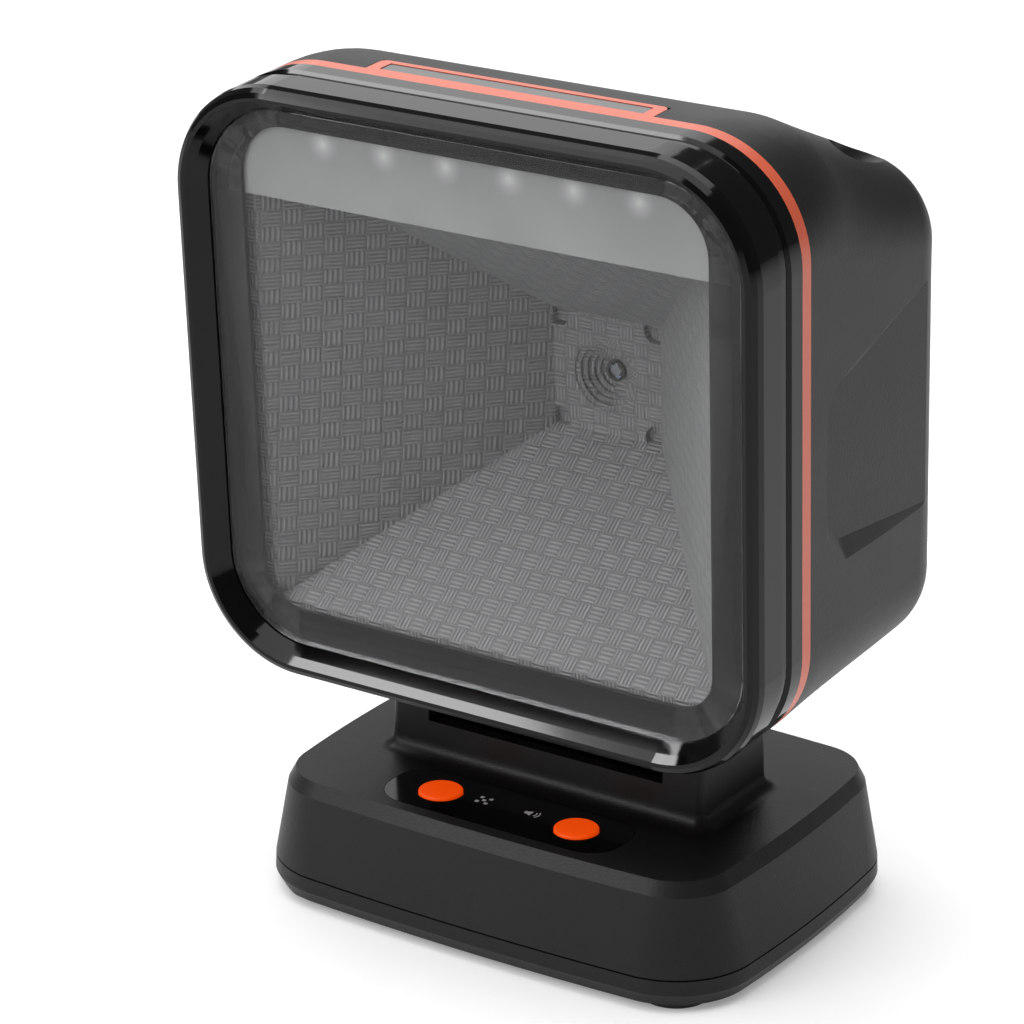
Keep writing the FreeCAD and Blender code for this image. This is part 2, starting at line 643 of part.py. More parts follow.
def scoop(sx):
    """Shallow finger scoop in one side: its floor is smaller than its mouth, so the walls slope."""
    floor = [(18.4, 6.2), (18.4, -12.0), (22.5, -16.8), (72.0, -24.3), (72.0, 19.0),
             (52.0, 16.6), (27.3, 9.6), (21.9, 8.6)]
    mouth = [(16.1, 6.8), (16.1, -15.9), (23.3, -22.7), (72.0, -31.5), (72.0, 22.0),
             (52.0, 19.6), (26.8, 13.0), (20.4, 10.7)]
    deep = HALF_W - SCOOP_DEPTH
    low = [Vector(sx * (deep + 0.009 * (y - floor[0][0])), y, z) for y, z in floor]
    high = [Vector(sx * (HALF_W + 0.5), y, z) for y, z in mouth]
    rims = [Part.makePolygon(points + [points[0]]) for points in (low, high)]
    tool = Part.makeLoft(rims, True, True)
    corners = [e for e in tool.Edges if e.BoundBox.XLength > 1.5 and e.CenterOfMass.y < 30]
    return tool.makeFillet(3.0, corners)


def housing_screw_places():
    return [(sx, z) for sx in MIRROR for z in (SCREW_Z_TOP, SCREW_Z_LOW)]


def rear_housing():
    outer = housing_solid(0)
    inner = housing_solid(WALL)
    shell = outer.cut(inner)
    wells = []
    well_bores = []
    for sx, z in housing_screw_places():
        foot = Vector(sx * SCREW_X, WELL_FLOOR - WALL, z)
        wells.append(rod(foot, Y, WELL_R + 1.1, 60))
        well_bores.append(rod(foot + Y * WALL, Y, WELL_R, 60))
        well_bores.append(rod(foot - Y, Y, SCREW_R + 0.2, 10))
    wells = [w.common(outer) for w in wells]
    pad = block(-32.0, 32.0, HINGE_Y - 9.0, HINGE_Y + 9.0, -HALF_H - 1, PAD_TOP).common(outer)
    bosses = [rod(Vector(x, MAIN_BOARD_Y + BOARD_T, z), Y, 2.6, HOUSING_BACK - MAIN_BOARD_Y - BOARD_T - 1)
              for x, z in MAIN_BOARD_SCREWS]
    speaker_cup = rod(Vector(0, SPEAKER_Y, SPEAKER_Z), Y, SPEAKER_R + 1.6, 6).cut(
        rod(Vector(0, SPEAKER_Y - 1, SPEAKER_Z), Y, SPEAKER_R + FIT, 9)).common(outer)
    body = fused([shell] + wells + [pad] + bosses + [speaker_cup])
    slots = []
    for i in range(5):
        z = SPEAKER_Z + (i - 2) * 2.8
        half = math.sqrt(SPEAKER_R ** 2 - (z - SPEAKER_Z) ** 2) - 2.0
        slots.append(block(-half, half, HOUSING_BACK - WALL - 1, HOUSING_BACK + 1, z - 0.7, z + 0.7))
    tools = well_bores + slots + [scoop(sx) for sx in MIRROR]
    tools.append(block(-INDICATOR_HALF_W - FIT, INDICATOR_HALF_W + FIT, TRIM_BACK - 1,
                       INDICATOR_BACK + FIT, HALF_H - WALL - 1.5, HALF_H + 1))
    tools.append(block(-BARREL_HALF_W - FIT, BARREL_HALF_W + FIT, HINGE_Y - BARREL_R - FIT,
                       HINGE_Y + BARREL_R + FIT, -HALF_H - 2, PAD_TOP + 1))
    tools += [rod(Vector(x, MAIN_BOARD_Y, z), Y, SMALL_SCREW_R, 6.0) for x, z in MAIN_BOARD_SCREWS]
    tools += [rod(Vector(x, y, PAD_TOP - 3.6), Z, SCREW_R, 10) for x, y in BRACKET_SCREWS]
    return cut(body, tools)


PAD_TOP = -HALF_H + WALL + 3.2
BRACKET_SCREWS = [(sx * 27.5, HINGE_Y + sy * 4.5) for sx in MIRROR for sy in MIRROR]
MAIN_BOARD_Y = 52.6
MAIN_BOARD_LOW = -13.4
MAIN_BOARD_TOP = 24.0
MAIN_BOARD_SCREWS = [(sx * 31.0, z) for sx in MIRROR for z in (-9.5, 20.0)]
SPEAKER_Y = 53.2
SPEAKER_Z = -24.6
SPEAKER_R = 8.6


def housing_screws():
    return [screw(Vector(sx * SCREW_X, BOSS_BORE + 0.2, z), Y, WELL_FLOOR - BOSS_BORE - 0.2,
                  SCREW_R, SCREW_HEAD_R, SCREW_HEAD_H) for sx, z in housing_screw_places()]


# ---- Main board and speaker ----------------------------------------------------------------
def main_board():
    plate = block(-35.0, 35.0, MAIN_BOARD_Y, MAIN_BOARD_Y + BOARD_T, MAIN_BOARD_LOW, MAIN_BOARD_TOP)
    holes = [rod(Vector(x, MAIN_BOARD_Y - 1, z), Y, SMALL_SCREW_R + 0.1, 5) for x, z in MAIN_BOARD_SCREWS]
    return cut(plate, holes)


def main_board_screws():
    return [screw(Vector(x, MAIN_BOARD_Y + 4.6, z), Y * -1, 4.6, SMALL_SCREW_R, SMALL_HEAD_R,
                  SMALL_HEAD_H) for x, z in MAIN_BOARD_SCREWS]


def decoder_chips():
    y1 = MAIN_BOARD_Y
    return [block(x - s / 2, x + s / 2, y1 - 1.3, y1, z - s / 2, z + s / 2)
            for x, z, s in ((-20.0, 6.0, 14.0), (20.0, 12.0, 11.0), (-18.0, -8.0, 7.0))]


def board_connectors():
    """Flex connectors on the two boards and the cable header under the main board."""
    y1 = MAIN_BOARD_Y
    return [block(-6.0, 6.0, y1 - 1.4, y1, 14.0, 18.0),
            block(-6.0, 6.0, CAMERA_BOARD_Y + BOARD_T, CAMERA_BOARD_Y + BOARD_T + 1.2, 1.4, 4.6),
            block(HEADER_X - 4.0, HEADER_X + 4.0, y1 - 4.0, y1, HEADER_Z - 2.7, HEADER_Z + 2.7)]


HEADER_X = 18.0
HEADER_Z = -9.0


def camera_flex():
    """Flat cable held between the connectors of the camera board and the main board."""
    return block(-4.5, 4.5, CAMERA_BOARD_Y + BOARD_T + 1.2, MAIN_BOARD_Y - 1.4, 1.8, 17.6)


def speaker_frame():
    rim = rod(Vector(0, SPEAKER_Y, SPEAKER_Z), Y, SPEAKER_R, HOUSING_BACK - WALL - SPEAKER_Y)
    bowl = rod(Vector(0, SPEAKER_Y + 1.2, SPEAKER_Z), Y, SPEAKER_R - 1.2, 9)
    magnet = rod(Vector(0, SPEAKER_Y - 1.6, SPEAKER_Z), Y, 5.0, 3.0)
    return fused([rim.cut(bowl), magnet])


def speaker_cone():
    y0 = SPEAKER_Y + 1.6
    return Part.makeCone(3.0, SPEAKER_R - 1.2, 2.0, Vector(0, y0, SPEAKER_Z), Y).cut(
        Part.makeCone(2.6, SPEAKER_R - 1.6, 2.0, Vector(0, y0 + 0.3, SPEAKER_Z), Y))


# ---- Tilt hinge ----------------------------------------------------------------------------
def hinge_bracket():
    """Head side of the hinge: two barrels on a stalk, and a flange inside the housing."""
    axis_z = -HINGE_DROP
    top = PAD_TOP
    stalk = block(-BARREL_HALF_W, BARREL_HALF_W, HINGE_Y - BARREL_R, HINGE_Y + BARREL_R, axis_z, top)
    barrel = rod(Vector(-BARREL_HALF_W, HINGE_Y, axis_z), X, BARREL_R, 2 * BARREL_HALF_W)
    flange = block(-31.0, 31.0, HINGE_Y - 8.0, HINGE_Y + 8.0, top, top + 2.4)
    body = fused([stalk, barrel, flange])
    channel = block(-CHANNEL_HALF_W, CHANNEL_HALF_W, HINGE_Y - 3.4, HINGE_Y + 3.4,
                    axis_z - BARREL_R - 1, top + 4)
    bore = rod(Vector(-BARREL_HALF_W - 1, HINGE_Y, axis_z), X, PIN_R + RUNNING, 2 * BARREL_HALF_W + 2)
    holes = [rod(Vector(x, y, top - 1), Z, SCREW_R + 0.2, 5) for x, y in BRACKET_SCREWS]
    return cut(body, [channel, bore] + holes)


def bracket_screws():
    top = PAD_TOP + 2.4
    return [screw(Vector(x, y, top - 5.6), Z, 5.6, SCREW_R, SCREW_HEAD_R, SCREW_HEAD_H)
            for x, y in BRACKET_SCREWS]


def hinge_pins():
    start = CHANNEL_HALF_W + 1.2
    end = BARREL_HALF_W + WASHER_T + 0.1 + EAR_T
    return [rod(Vector(sx * start, 0, HINGE_Z), X * sx, PIN_R, end - start) for sx in MIRROR]


def friction_washers():
    inner = BARREL_HALF_W + 0.1
    washers = []
    for sx in MIRROR:
        disc = rod(Vector(sx * inner, 0, HINGE_Z), X * sx, BARREL_R - 0.4, WASHER_T)
        washers.append(disc.cut(rod(Vector(sx * (inner - 1), 0, HINGE_Z), X * sx, PIN_R, 4)))
    return washers


CRADLE_Z = 10.0
CRADLE_T = 2.4
CRADLE_SCREWS = [(sx * 34.0, sy * 5.5) for sx in MIRROR for sy in MIRROR]


def hinge_cradle():
    """U bracket inside the neck that carries the two hinge pins."""
    plate = block(-38.0, 38.0, -8.4, 8.4, CRADLE_Z, CRADLE_Z + CRADLE_T)
    inner = BARREL_HALF_W + WASHER_T + 0.1
    parts = [plate]
    for sx in MIRROR:
        x0, x1 = sorted((sx * inner, sx * (inner + EAR_T)))
        parts.append(block(x0, x1, -EAR_R, EAR_R, CRADLE_Z, HINGE_Z))
        parts.append(rod(Vector(x0, 0, HINGE_Z), X, EAR_R, EAR_T))
    body = fused(parts)
    pin_bore = rod(Vector(-40, 0, HINGE_Z), X, PIN_R, 80)
    cable_hole = block(-CHANNEL_HALF_W, CHANNEL_HALF_W, -4.5, 4.5, CRADLE_Z - 1, CRADLE_Z + CRADLE_T + 1)
    holes = [rod(Vector(x, y, CRADLE_Z - 1), Z, SCREW_R + 0.2, 8) for x, y in CRADLE_SCREWS]
    return cut(body, [pin_bore, cable_hole] + holes)


def cradle_screws():
    return [screw(Vector(x, y, CRADLE_Z + 7.0), Z * -1, 7.0, SCREW_R, SCREW_HEAD_R, SCREW_HEAD_H)
            for x, y in CRADLE_SCREWS]


# ---- Base cover with neck ------------------------------------------------------------------
COVER_UNDER = BASE_TOP - COVER_TOP_T
PANEL_FLOOR = BASE_TOP - PANEL_T
BUTTON_PLACES = {"mode": -BUTTON_X, "volume": BUTTON_X}
SWITCH_BOARD_Z = 12.0
SWITCH_BOARD_SCREWS = [(sx * 21.8, y) for sx in MIRROR for y in (-24.4, -16.2)]
BASE_SCREWS = [(sx * FOOT_X, sy * FOOT_Y) for sx in MIRROR for sy in MIRROR]


def neck_solid(inset):
    top = NECK_TOP - inset
    low = SEAM_Z + 1 if inset else COVER_UNDER
    half_low = (NECK_HALF_W - inset, NECK_HALF_D - inset)
    half_top = (NECK_HALF_W - NECK_TAPER - inset, NECK_HALF_D - NECK_TAPER - inset)
    wires = []
    for (hw, hd), z in ((half_low, low), (half_top, top)):
        points = [Vector(-hw, -hd, z), Vector(hw, -hd, z), Vector(hw, hd, z), Vector(-hw, hd, z)]
        wires.append(Part.makePolygon(points + [points[0]]))
    body = Part.makeLoft(wires, True, True)
    ridge = [e for e in body.Edges if abs(e.CenterOfMass.z - top) < 1e-6
             and abs(e.CenterOfMass.y) > 1]
    body = body.makeFillet(max(NECK_ROUND - inset, 1.0), ridge)
    if inset:
        return body
    uprights = [e for e in body.Edges if abs(e.CenterOfMass.z - (low + top - NECK_ROUND) / 2) < 3
                and abs(e.CenterOfMass.x) > NECK_HALF_W - 2 and e.Length > 8]
    return body.makeFillet(1.4, uprights)


def base_cover():
    lower = plan_loft(SEAM_HALF, SEAM_Z, SHOULDER_HALF, SHOULDER_Z)
    upper = plan_loft(SHOULDER_HALF, SHOULDER_Z, TOP_HALF, BASE_TOP)
    block_body = fused([lower, upper, neck_solid(0)])
    foot_line = [e for e in block_body.Edges if abs(e.CenterOfMass.z - BASE_TOP) < 1e-4
                 and abs(e.CenterOfMass.x) < NECK_HALF_W + 1 and abs(e.CenterOfMass.y) < NECK_HALF_D + 1]
    block_body = block_body.makeFillet(NECK_FILLET, foot_line)
    cavity = plan_loft(inset_plan(SEAM_HALF, BASE_WALL), SEAM_Z - 0.01,
                       inset_plan(TOP_HALF, BASE_WALL), COVER_UNDER)
    slot = block(-SLOT_HALF_W, SLOT_HALF_W, -NECK_HALF_D - 3, NECK_HALF_D + 3, SLOT_LOW, NECK_TOP + 1)
    body = cut(block_body, [cavity, neck_solid(BASE_WALL), slot])
    posts = [rod(Vector(x, y, SEAM_Z + 0.2), Z, 3.4, COVER_UNDER - SEAM_Z) for x, y in BASE_SCREWS]
    posts += [rod(Vector(x, y, CRADLE_Z + CRADLE_T), Z, 2.9, COVER_UNDER - CRADLE_Z - CRADLE_T + 0.5)
              for x, y in CRADLE_SCREWS]
    posts += [rod(Vector(x, y, SWITCH_BOARD_Z + BOARD_T), Z, 2.0,
                  COVER_UNDER - SWITCH_BOARD_Z - BOARD_T + 0.5) for x, y in SWITCH_BOARD_SCREWS]
    body = fused([body] + posts)
    tools = [rod(Vector(x, y, SEAM_Z - 1), Z, SCREW_R, 10) for x, y in BASE_SCREWS]
    tools += [rod(Vector(x, y, CRADLE_Z), Z, SCREW_R, 7.4) for x, y in CRADLE_SCREWS]
    tools += [rod(Vector(x, y, SWITCH_BOARD_Z), Z, SMALL_SCREW_R, 4.4) for x, y in SWITCH_BOARD_SCREWS]
    tools.append(flat_pill(0, BUTTON_Y, grow_pill(0.1), PANEL_FLOOR, BASE_TOP + 1))
    tools += [rod(Vector(x, BUTTON_Y, COVER_UNDER - 1), Z, BUTTON_R + BUTTON_GAP, 5)
              for x in BUTTON_PLACES.values()]
    tools.append(block(-SOCKET_W / 2 - FIT, SOCKET_W / 2 + FIT, SOCKET_MOUTH_Y - 12, 40,
                       SOCKET_Z, SOCKET_Z + SOCKET_H + FIT))
    return cut(body, tools)


def grow_pill(grow):
    return PANEL_HALF[0] + grow, PANEL_HALF[1] + grow, PANEL_HALF[2] + grow


def control_panel():
    plate = flat_pill(0, BUTTON_Y, PANEL_HALF, PANEL_FLOOR, BASE_TOP)
    holes = [rod(Vector(x, BUTTON_Y, PANEL_FLOOR - 1), Z, BUTTON_R + BUTTON_GAP, 4)
             for x in BUTTON_PLACES.values()]
    return cut(plate, holes)


# ---- Buttons and their switches ------------------------------------------------------------
SWITCH_TOP = SWITCH_BOARD_Z + BOARD_T + SWITCH_H
PLUNGER_TOP = SWITCH_TOP + 1.0
FLANGE_TOP = COVER_UNDER - 0.15


def button(x):
    """Round key cap with a collar that keeps it in the cover, and a stem to its switch."""
    cap = rod(Vector(x, BUTTON_Y, FLANGE_TOP - 0.5), Z, BUTTON_R, BASE_TOP + BUTTON_PROUD - FLANGE_TOP + 0.5)
    rim = [e for e in cap.Edges if abs(e.CenterOfMass.z - BASE_TOP - BUTTON_PROUD) < 1e-6
           and abs(e.Length - 2 * math.pi * BUTTON_R) < 1e-6]
    cap = cap.makeFillet(0.3, rim)
    collar = rod(Vector(x, BUTTON_Y, FLANGE_TOP - 0.9), Z, FLANGE_R, 0.9)
    stem = rod(Vector(x, BUTTON_Y, PLUNGER_TOP), Z, 1.5, FLANGE_TOP - 0.5 - PLUNGER_TOP)
    return fused([cap, collar, stem])


def plunger(x):
    return rod(Vector(x, BUTTON_Y, SWITCH_BOARD_Z + BOARD_T + 0.9), Z, PLUNGER_R,
               PLUNGER_TOP - SWITCH_BOARD_Z - BOARD_T - 0.9)


def switch_bodies():
    bodies = []
    half = SWITCH_SIDE / 2
    for x in BUTTON_PLACES.values():
        can = block(x - half, x + half, BUTTON_Y - half, BUTTON_Y + half,
                    SWITCH_BOARD_Z + BOARD_T, SWITCH_TOP)
        well = rod(Vector(x, BUTTON_Y, SWITCH_BOARD_Z + BOARD_T + 0.3), Z, PLUNGER_R + 0.1, 5)
        bodies.append(can.cut(well))
    return bodies


def switch_board():
    plate = block(-24.6, 24.6, -27.0, -13.6, SWITCH_BOARD_Z, SWITCH_BOARD_Z + BOARD_T)
    holes = [rod(Vector(x, y, SWITCH_BOARD_Z - 1), Z, SMALL_SCREW_R + 0.1, 5) for x, y in SWITCH_BOARD_SCREWS]
    return cut(plate, holes)


def switch_board_screws():
    return [screw(Vector(x, y, SWITCH_BOARD_Z + 4.4), Z * -1, 4.4, SMALL_SCREW_R, SMALL_HEAD_R,
                  SMALL_HEAD_H) for x, y in SWITCH_BOARD_SCREWS]


# ---- Tray, ballast and feet ----------------------------------------------------------------
TRAY_LOW = FOOT_PROUD
TRAY_FLOOR = TRAY_LOW + TRAY_FLOOR_T
TRAY_TAPER_Z = 3.2
BALLAST = (29.0, -23.5, 4.0, 3.4)     # half width, front, back and thickness
BALLAST_SCREWS = [(sx * 22.0, -10.0) for sx in MIRROR]
SOCKET_BOARD_Z = 4.4
SOCKET_Z = SOCKET_BOARD_Z + BOARD_T
SOCKET_BOARD_SCREWS = [(sx * 17.0, y) for sx in MIRROR for y in (11.0, 27.0)]


def base_tray():
    grown = (SEAM_HALF[0] + 0.1, SEAM_HALF[1] + 0.1, SEAM_HALF[2])
    rim = plan_loft(grown, TRAY_TAPER_Z, SEAM_HALF, SEAM_Z - 0.3)
    groove = plan_loft(inset_plan(SEAM_HALF, 0.5), SEAM_Z - 0.3, inset_plan(SEAM_HALF, 0.5), SEAM_Z)
    taper = plan_loft(inset_plan(grown, 1.2), TRAY_LOW, grown, TRAY_TAPER_Z)
    lip = plan_loft(inset_plan(SEAM_HALF, BASE_WALL + FIT), SEAM_Z,
                    inset_plan(SEAM_HALF, BASE_WALL + FIT + 0.55), SEAM_Z + 1.8)
    inside = plan_loft(inset_plan(SEAM_HALF, BASE_WALL + 1.5), TRAY_FLOOR,
                       inset_plan(SEAM_HALF, BASE_WALL + 1.9), SEAM_Z + 3)
    shell = fused([rim, groove, taper, lip]).cut(inside)
    posts = [rod(Vector(x, y, TRAY_LOW + 0.5), Z, 4.4, SEAM_Z + 0.2 - TRAY_LOW - 0.5) for x, y in BASE_SCREWS]
    posts += [rod(Vector(x, y, TRAY_LOW + 0.5), Z, 2.9, TRAY_FLOOR + BALLAST[3] - 0.3 - TRAY_LOW - 0.5)
              for x, y in BALLAST_SCREWS]
    posts += [rod(Vector(x, y, TRAY_LOW + 0.5), Z, 2.4, SOCKET_BOARD_Z - TRAY_LOW - 0.5)
              for x, y in SOCKET_BOARD_SCREWS]
    body = fused([shell] + posts)
    seat = TRAY_LOW + FOOT_H - FOOT_PROUD
    tools = []
    for x, y in BASE_SCREWS:
        tools.append(rod(Vector(x, y, 0), Z, FOOT_R + 0.1, seat))
        tools.append(rod(Vector(x, y, 0), Z, SCREW_HEAD_R + 0.4, BASE_SCREW_SEAT))
        tools.append(rod(Vector(x, y, 0), Z, SCREW_R + 0.2, 10))
    tools += [rod(Vector(x, y, TRAY_LOW + 0.8), Z, SCREW_R, 9) for x, y in BALLAST_SCREWS]
    tools += [rod(Vector(x, y, TRAY_LOW + 1.2), Z, SMALL_SCREW_R, 9) for x, y in SOCKET_BOARD_SCREWS]
    tools.append(block(-LABEL_HALF[0], LABEL_HALF[0], -LABEL_HALF[1], LABEL_HALF[1], 0, TRAY_LOW + LABEL_T))
    back = SOCKET_MOUTH_Y
    tools.append(block(-SOCKET_W / 2 - FIT, SOCKET_W / 2 + FIT, back - 12, back + FIT, SOCKET_Z - 0.1, 12))
    return cut(body, tools)


BASE_SCREW_SEAT = 4.4
LABEL_HALF = (19.0, 11.0)
LABEL_T = 0.3


def base_screws():
    return [screw(Vector(x, y, BASE_SCREW_SEAT + 9.0), Z * -1, 9.0, SCREW_R, SCREW_HEAD_R, SCREW_HEAD_H)
            for x, y in BASE_SCREWS]


def rubber_feet():
    feet = []
    for x, y in BASE_SCREWS:
        pad = rod(Vector(x, y, 0), Z, FOOT_R, FOOT_H)
        rim = [e for e in pad.Edges if abs(e.CenterOfMass.z) < 1e-6 and e.Length > 10]
        feet.append(pad.makeFillet(0.4, rim))
    return feet


def rating_label():
    return block(-LABEL_HALF[0] + FIT, LABEL_HALF[0] - FIT, -LABEL_HALF[1] + FIT, LABEL_HALF[1] - FIT,
                 TRAY_LOW, TRAY_LOW + LABEL_T)


def ballast_plate():
    half, front, back, thick = BALLAST
    plate = block(-half, half, front, back, TRAY_FLOOR, TRAY_FLOOR + thick)
    uprights = [e for e in plate.Edges if abs(e.Length - thick) < 1e-6]
    plate = plate.makeFillet(3.0, uprights)
    tools = [rod(Vector(x, y, 0), Z, 2.9 + FIT, 20) for x, y in BALLAST_SCREWS]
    tools += [rod(Vector(x, y, 0), Z, 4.4 + 0.3, 20) for x, y in BASE_SCREWS]
    return cut(plate, tools)


def ballast_screws():
    seat = TRAY_FLOOR + BALLAST[3]
    return [screw(Vector(x, y, seat - 4.4), Z, 4.4, SCREW_R, 4.0, SCREW_HEAD_H) for x, y in BALLAST_SCREWS]


# ---- Cable socket --------------------------------------------------------------------------
def socket_board():
    plate = block(-20.0, 20.0, 7.5, 29.6, SOCKET_BOARD_Z, SOCKET_BOARD_Z + BOARD_T)
    holes = [rod(Vector(x, y, SOCKET_BOARD_Z - 1), Z, SMALL_SCREW_R + 0.1, 5) for x, y in SOCKET_BOARD_SCREWS]
    return cut(plate, holes)


def socket_board_screws():
    seat = SOCKET_BOARD_Z + BOARD_T
    return [screw(Vector(x, y, seat - 3.3), Z, 3.3, SMALL_SCREW_R, SMALL_HEAD_R, SMALL_HEAD_H)
            for x, y in SOCKET_BOARD_SCREWS]


PORT_Z = SOCKET_Z + 3.6


def cable_socket():
    """Modular jack with its latch slot above the port."""
    half = SOCKET_W / 2
    body = block(-half, half, SOCKET_MOUTH_Y - SOCKET_D, SOCKET_MOUTH_Y, SOCKET_Z, SOCKET_Z + SOCKET_H)
    port = block(-PORT_W / 2, PORT_W / 2, SOCKET_MOUTH_Y - PORT_DEPTH, SOCKET_MOUTH_Y + 1,
                 PORT_Z, PORT_Z + PORT_H)
    latch = block(-LATCH_W / 2, LATCH_W / 2, SOCKET_MOUTH_Y - 9.0, SOCKET_MOUTH_Y + 1,
                  PORT_Z + PORT_H - 0.1, PORT_Z + PORT_H + LATCH_H)
    return cut(body, [port, latch])


def socket_contacts():
    """Eight spring wires that slope down from the back wall to the floor of the port."""
    back = SOCKET_MOUTH_Y - PORT_DEPTH
    side = [(back, PORT_Z + 1.9), (back, PORT_Z + 1.5), (back + 8.0, PORT_Z), (back + 8.0, PORT_Z + 0.4)]
    wires = []
    for i in range(8):
        points = [Vector((i - 3.5) * 1.02 - 0.2, y, z) for y, z in side]
        face = Part.Face(Part.makePolygon(points + [points[0]]))
        wires.append(face.extrude(X * 0.4))
    return wires


# ---- Cables inside -------------------------------------------------------------------------
def cable_header():
    return block(-5.0, 5.0, 9.0, 13.0, SOCKET_BOARD_Z + BOARD_T, SOCKET_BOARD_Z + BOARD_T + 3.0)


def base_harness():
    """Cable from the header in the base to the tilt axis."""
    start = Vector(0, 11.0, SOCKET_BOARD_Z + BOARD_T + 3.0)
    points = [start, start + Z * 5.0, Vector(0, 0, 17.5), Vector(0, 0, HINGE_Z - HARNESS_GAP)]
    return tube_run(points, HARNESS_R, 3.0)


def head_harness():
    """Cable from the main board down through the hinge to the tilt axis."""
    start = Vector(HEADER_X, MAIN_BOARD_Y - 4.0, HEADER_Z)
    points = [start, start - Y * 4.6, Vector(HEADER_X, MAIN_BOARD_Y - 8.6, -23.0),
              Vector(0, HINGE_Y, -36.0), Vector(0, HINGE_Y, -HINGE_DROP + HARNESS_GAP)]
    return tube_run(points, HARNESS_R, 4.0)


def button_ribbon():
    """Flat cable between the socket board and the switch board, under the cradle."""
    t = 0.3
    profile = [(7.6, SOCKET_Z), (9.0, SOCKET_Z), (9.0, SOCKET_Z + t), (7.9, SOCKET_Z + t),
               (4.6, 8.9), (-9.0, 8.9), (-13.9, SWITCH_BOARD_Z), (-17.0, SWITCH_BOARD_Z),
               (-17.0, SWITCH_BOARD_Z - t), (-14.2, SWITCH_BOARD_Z - t), (-9.1, 8.6), (4.4, 8.6)]
    points = [Vector(9.0, y, z) for y, z in profile]
    face = Part.Face(Part.makePolygon(points + [points[0]]))
    return face.extrude(Vector(7.0, 0, 0))


HEAD_PIECES = [front_bezel, window_glass, window_mask, diffuser_panel, light_tunnel, lens_shroud,
               lens_barrel, camera_lens, camera_holder, image_sensor, camera_board, camera_screws,
               illumination_board, illumination_screws, illumination_leds, trim_ring, indicator_lens,
               indicator_light_guide, indicator_leds, indicator_board, rear_housing, housing_screws,
               main_board, main_board_screws, decoder_chips, board_connectors, camera_flex,
               speaker_frame, speaker_cone, hinge_bracket, bracket_screws, head_harness]
BASE_PIECES = [base_cover, control_panel, switch_bodies, switch_board, switch_board_screws,
               hinge_cradle, cradle_screws, hinge_pins, friction_washers, base_tray, base_screws,
               rubber_feet, rating_label, ballast_plate, ballast_screws, socket_board,
               socket_board_screws, cable_socket, socket_contacts, cable_header, base_harness,
               button_ribbon]

for make in HEAD_PIECES:
    save(make.__name__, make(), on_head=True)
for make in BASE_PIECES:
    save(make.__name__, make())
for name, place in BUTTON_PLACES.items():
    save(name + "_button", button(place))
    save(name + "_plunger", plunger(place))
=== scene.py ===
# %% [markdown]
# # A desktop presentation scanner
# The scanner is a black plastic head with a large window, on a short neck above a weighted base.
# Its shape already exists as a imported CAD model, one mesh for every real part. This lesson gives
# those parts their surfaces, adds the printed marks that have no thickness of their own, and puts
# the scanner on a pale floor under soft studio lights. The CAD meshes are never moved or changed.

# %% Load the parts
import json
import math

import bmesh
import bpy
from mathutils import Matrix, Vector


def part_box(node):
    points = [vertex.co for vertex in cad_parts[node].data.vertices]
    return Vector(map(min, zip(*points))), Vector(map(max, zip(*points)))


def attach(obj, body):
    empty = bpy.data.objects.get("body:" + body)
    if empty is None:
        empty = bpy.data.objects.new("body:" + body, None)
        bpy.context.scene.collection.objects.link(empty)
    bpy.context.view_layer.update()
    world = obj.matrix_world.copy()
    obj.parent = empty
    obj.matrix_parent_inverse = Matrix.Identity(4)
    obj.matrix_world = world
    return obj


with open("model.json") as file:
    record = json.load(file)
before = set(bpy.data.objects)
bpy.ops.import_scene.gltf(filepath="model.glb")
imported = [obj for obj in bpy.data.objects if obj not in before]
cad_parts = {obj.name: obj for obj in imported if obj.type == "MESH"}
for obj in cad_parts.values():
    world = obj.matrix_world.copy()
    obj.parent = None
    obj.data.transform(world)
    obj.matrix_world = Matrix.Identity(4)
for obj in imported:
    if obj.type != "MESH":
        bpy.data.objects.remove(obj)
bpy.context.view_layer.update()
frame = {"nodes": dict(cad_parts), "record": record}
parts = frame["nodes"]

# %% [markdown]
# ## How a finish is built
# Every finish starts from one Principled shader. Values that are the same all over are typed
# straight into its sockets. Only what changes over the surface comes in through links. A small
# helper makes the material and hands back what the later cells need, so each finish stays short.
# The other helpers give a grey, a lighter or darker shade of a colour, and a glow.

# %% Helpers: start a finish
MM = 0.001
COAT_ROUGHNESS = 0.05


def start_finish(name, color, roughness, metallic=0.0, coat=0.0, shine=0.5):
    material = bpy.data.materials.new(name)
    material.use_nodes = True
    shader = material.node_tree.nodes["Principled BSDF"]
    shader.inputs["Base Color"].default_value = (*color, 1.0)
    shader.inputs["Roughness"].default_value = roughness
    shader.inputs["Metallic"].default_value = metallic
    shader.inputs["Coat Weight"].default_value = coat
    shader.inputs["Coat Roughness"].default_value = COAT_ROUGHNESS
    shader.inputs["Specular IOR Level"].default_value = shine
    return material, material.node_tree, shader


def grey(level):
    return (level, level, level)


def shade_of(color, factor):
    return tuple(min(1.0, channel * factor) for channel in color)


def make_glow(material, color, strength):
    shader = material.node_tree.nodes["Principled BSDF"]
    shader.inputs["Emission Color"].default_value = (*color, 1.0)
    shader.inputs["Emission Strength"].default_value = strength


print("a grey and a shade of it:", grey(0.5), shade_of(grey(0.5), 0.8))

# %% [markdown]
# ## Shared effect: moulded grain
# Black housings are moulded in steel tools whose walls are spark-eroded, which leaves a fine,
# rounded grain. It could be an image, but noise on Object coordinates needs no unwrapping and
# never stretches. The effect is a node group, so housing, tray, feet and cables can all use it
# with their own grain size. It gives a height for the bump and a mask that mottles the colour.

# %% Node group: moulded grain
USUAL_GRAINS = 2200.0
WIDE_TO_FINE = 0.04
FINE_PART = 0.7
WIDE_PART = 0.3


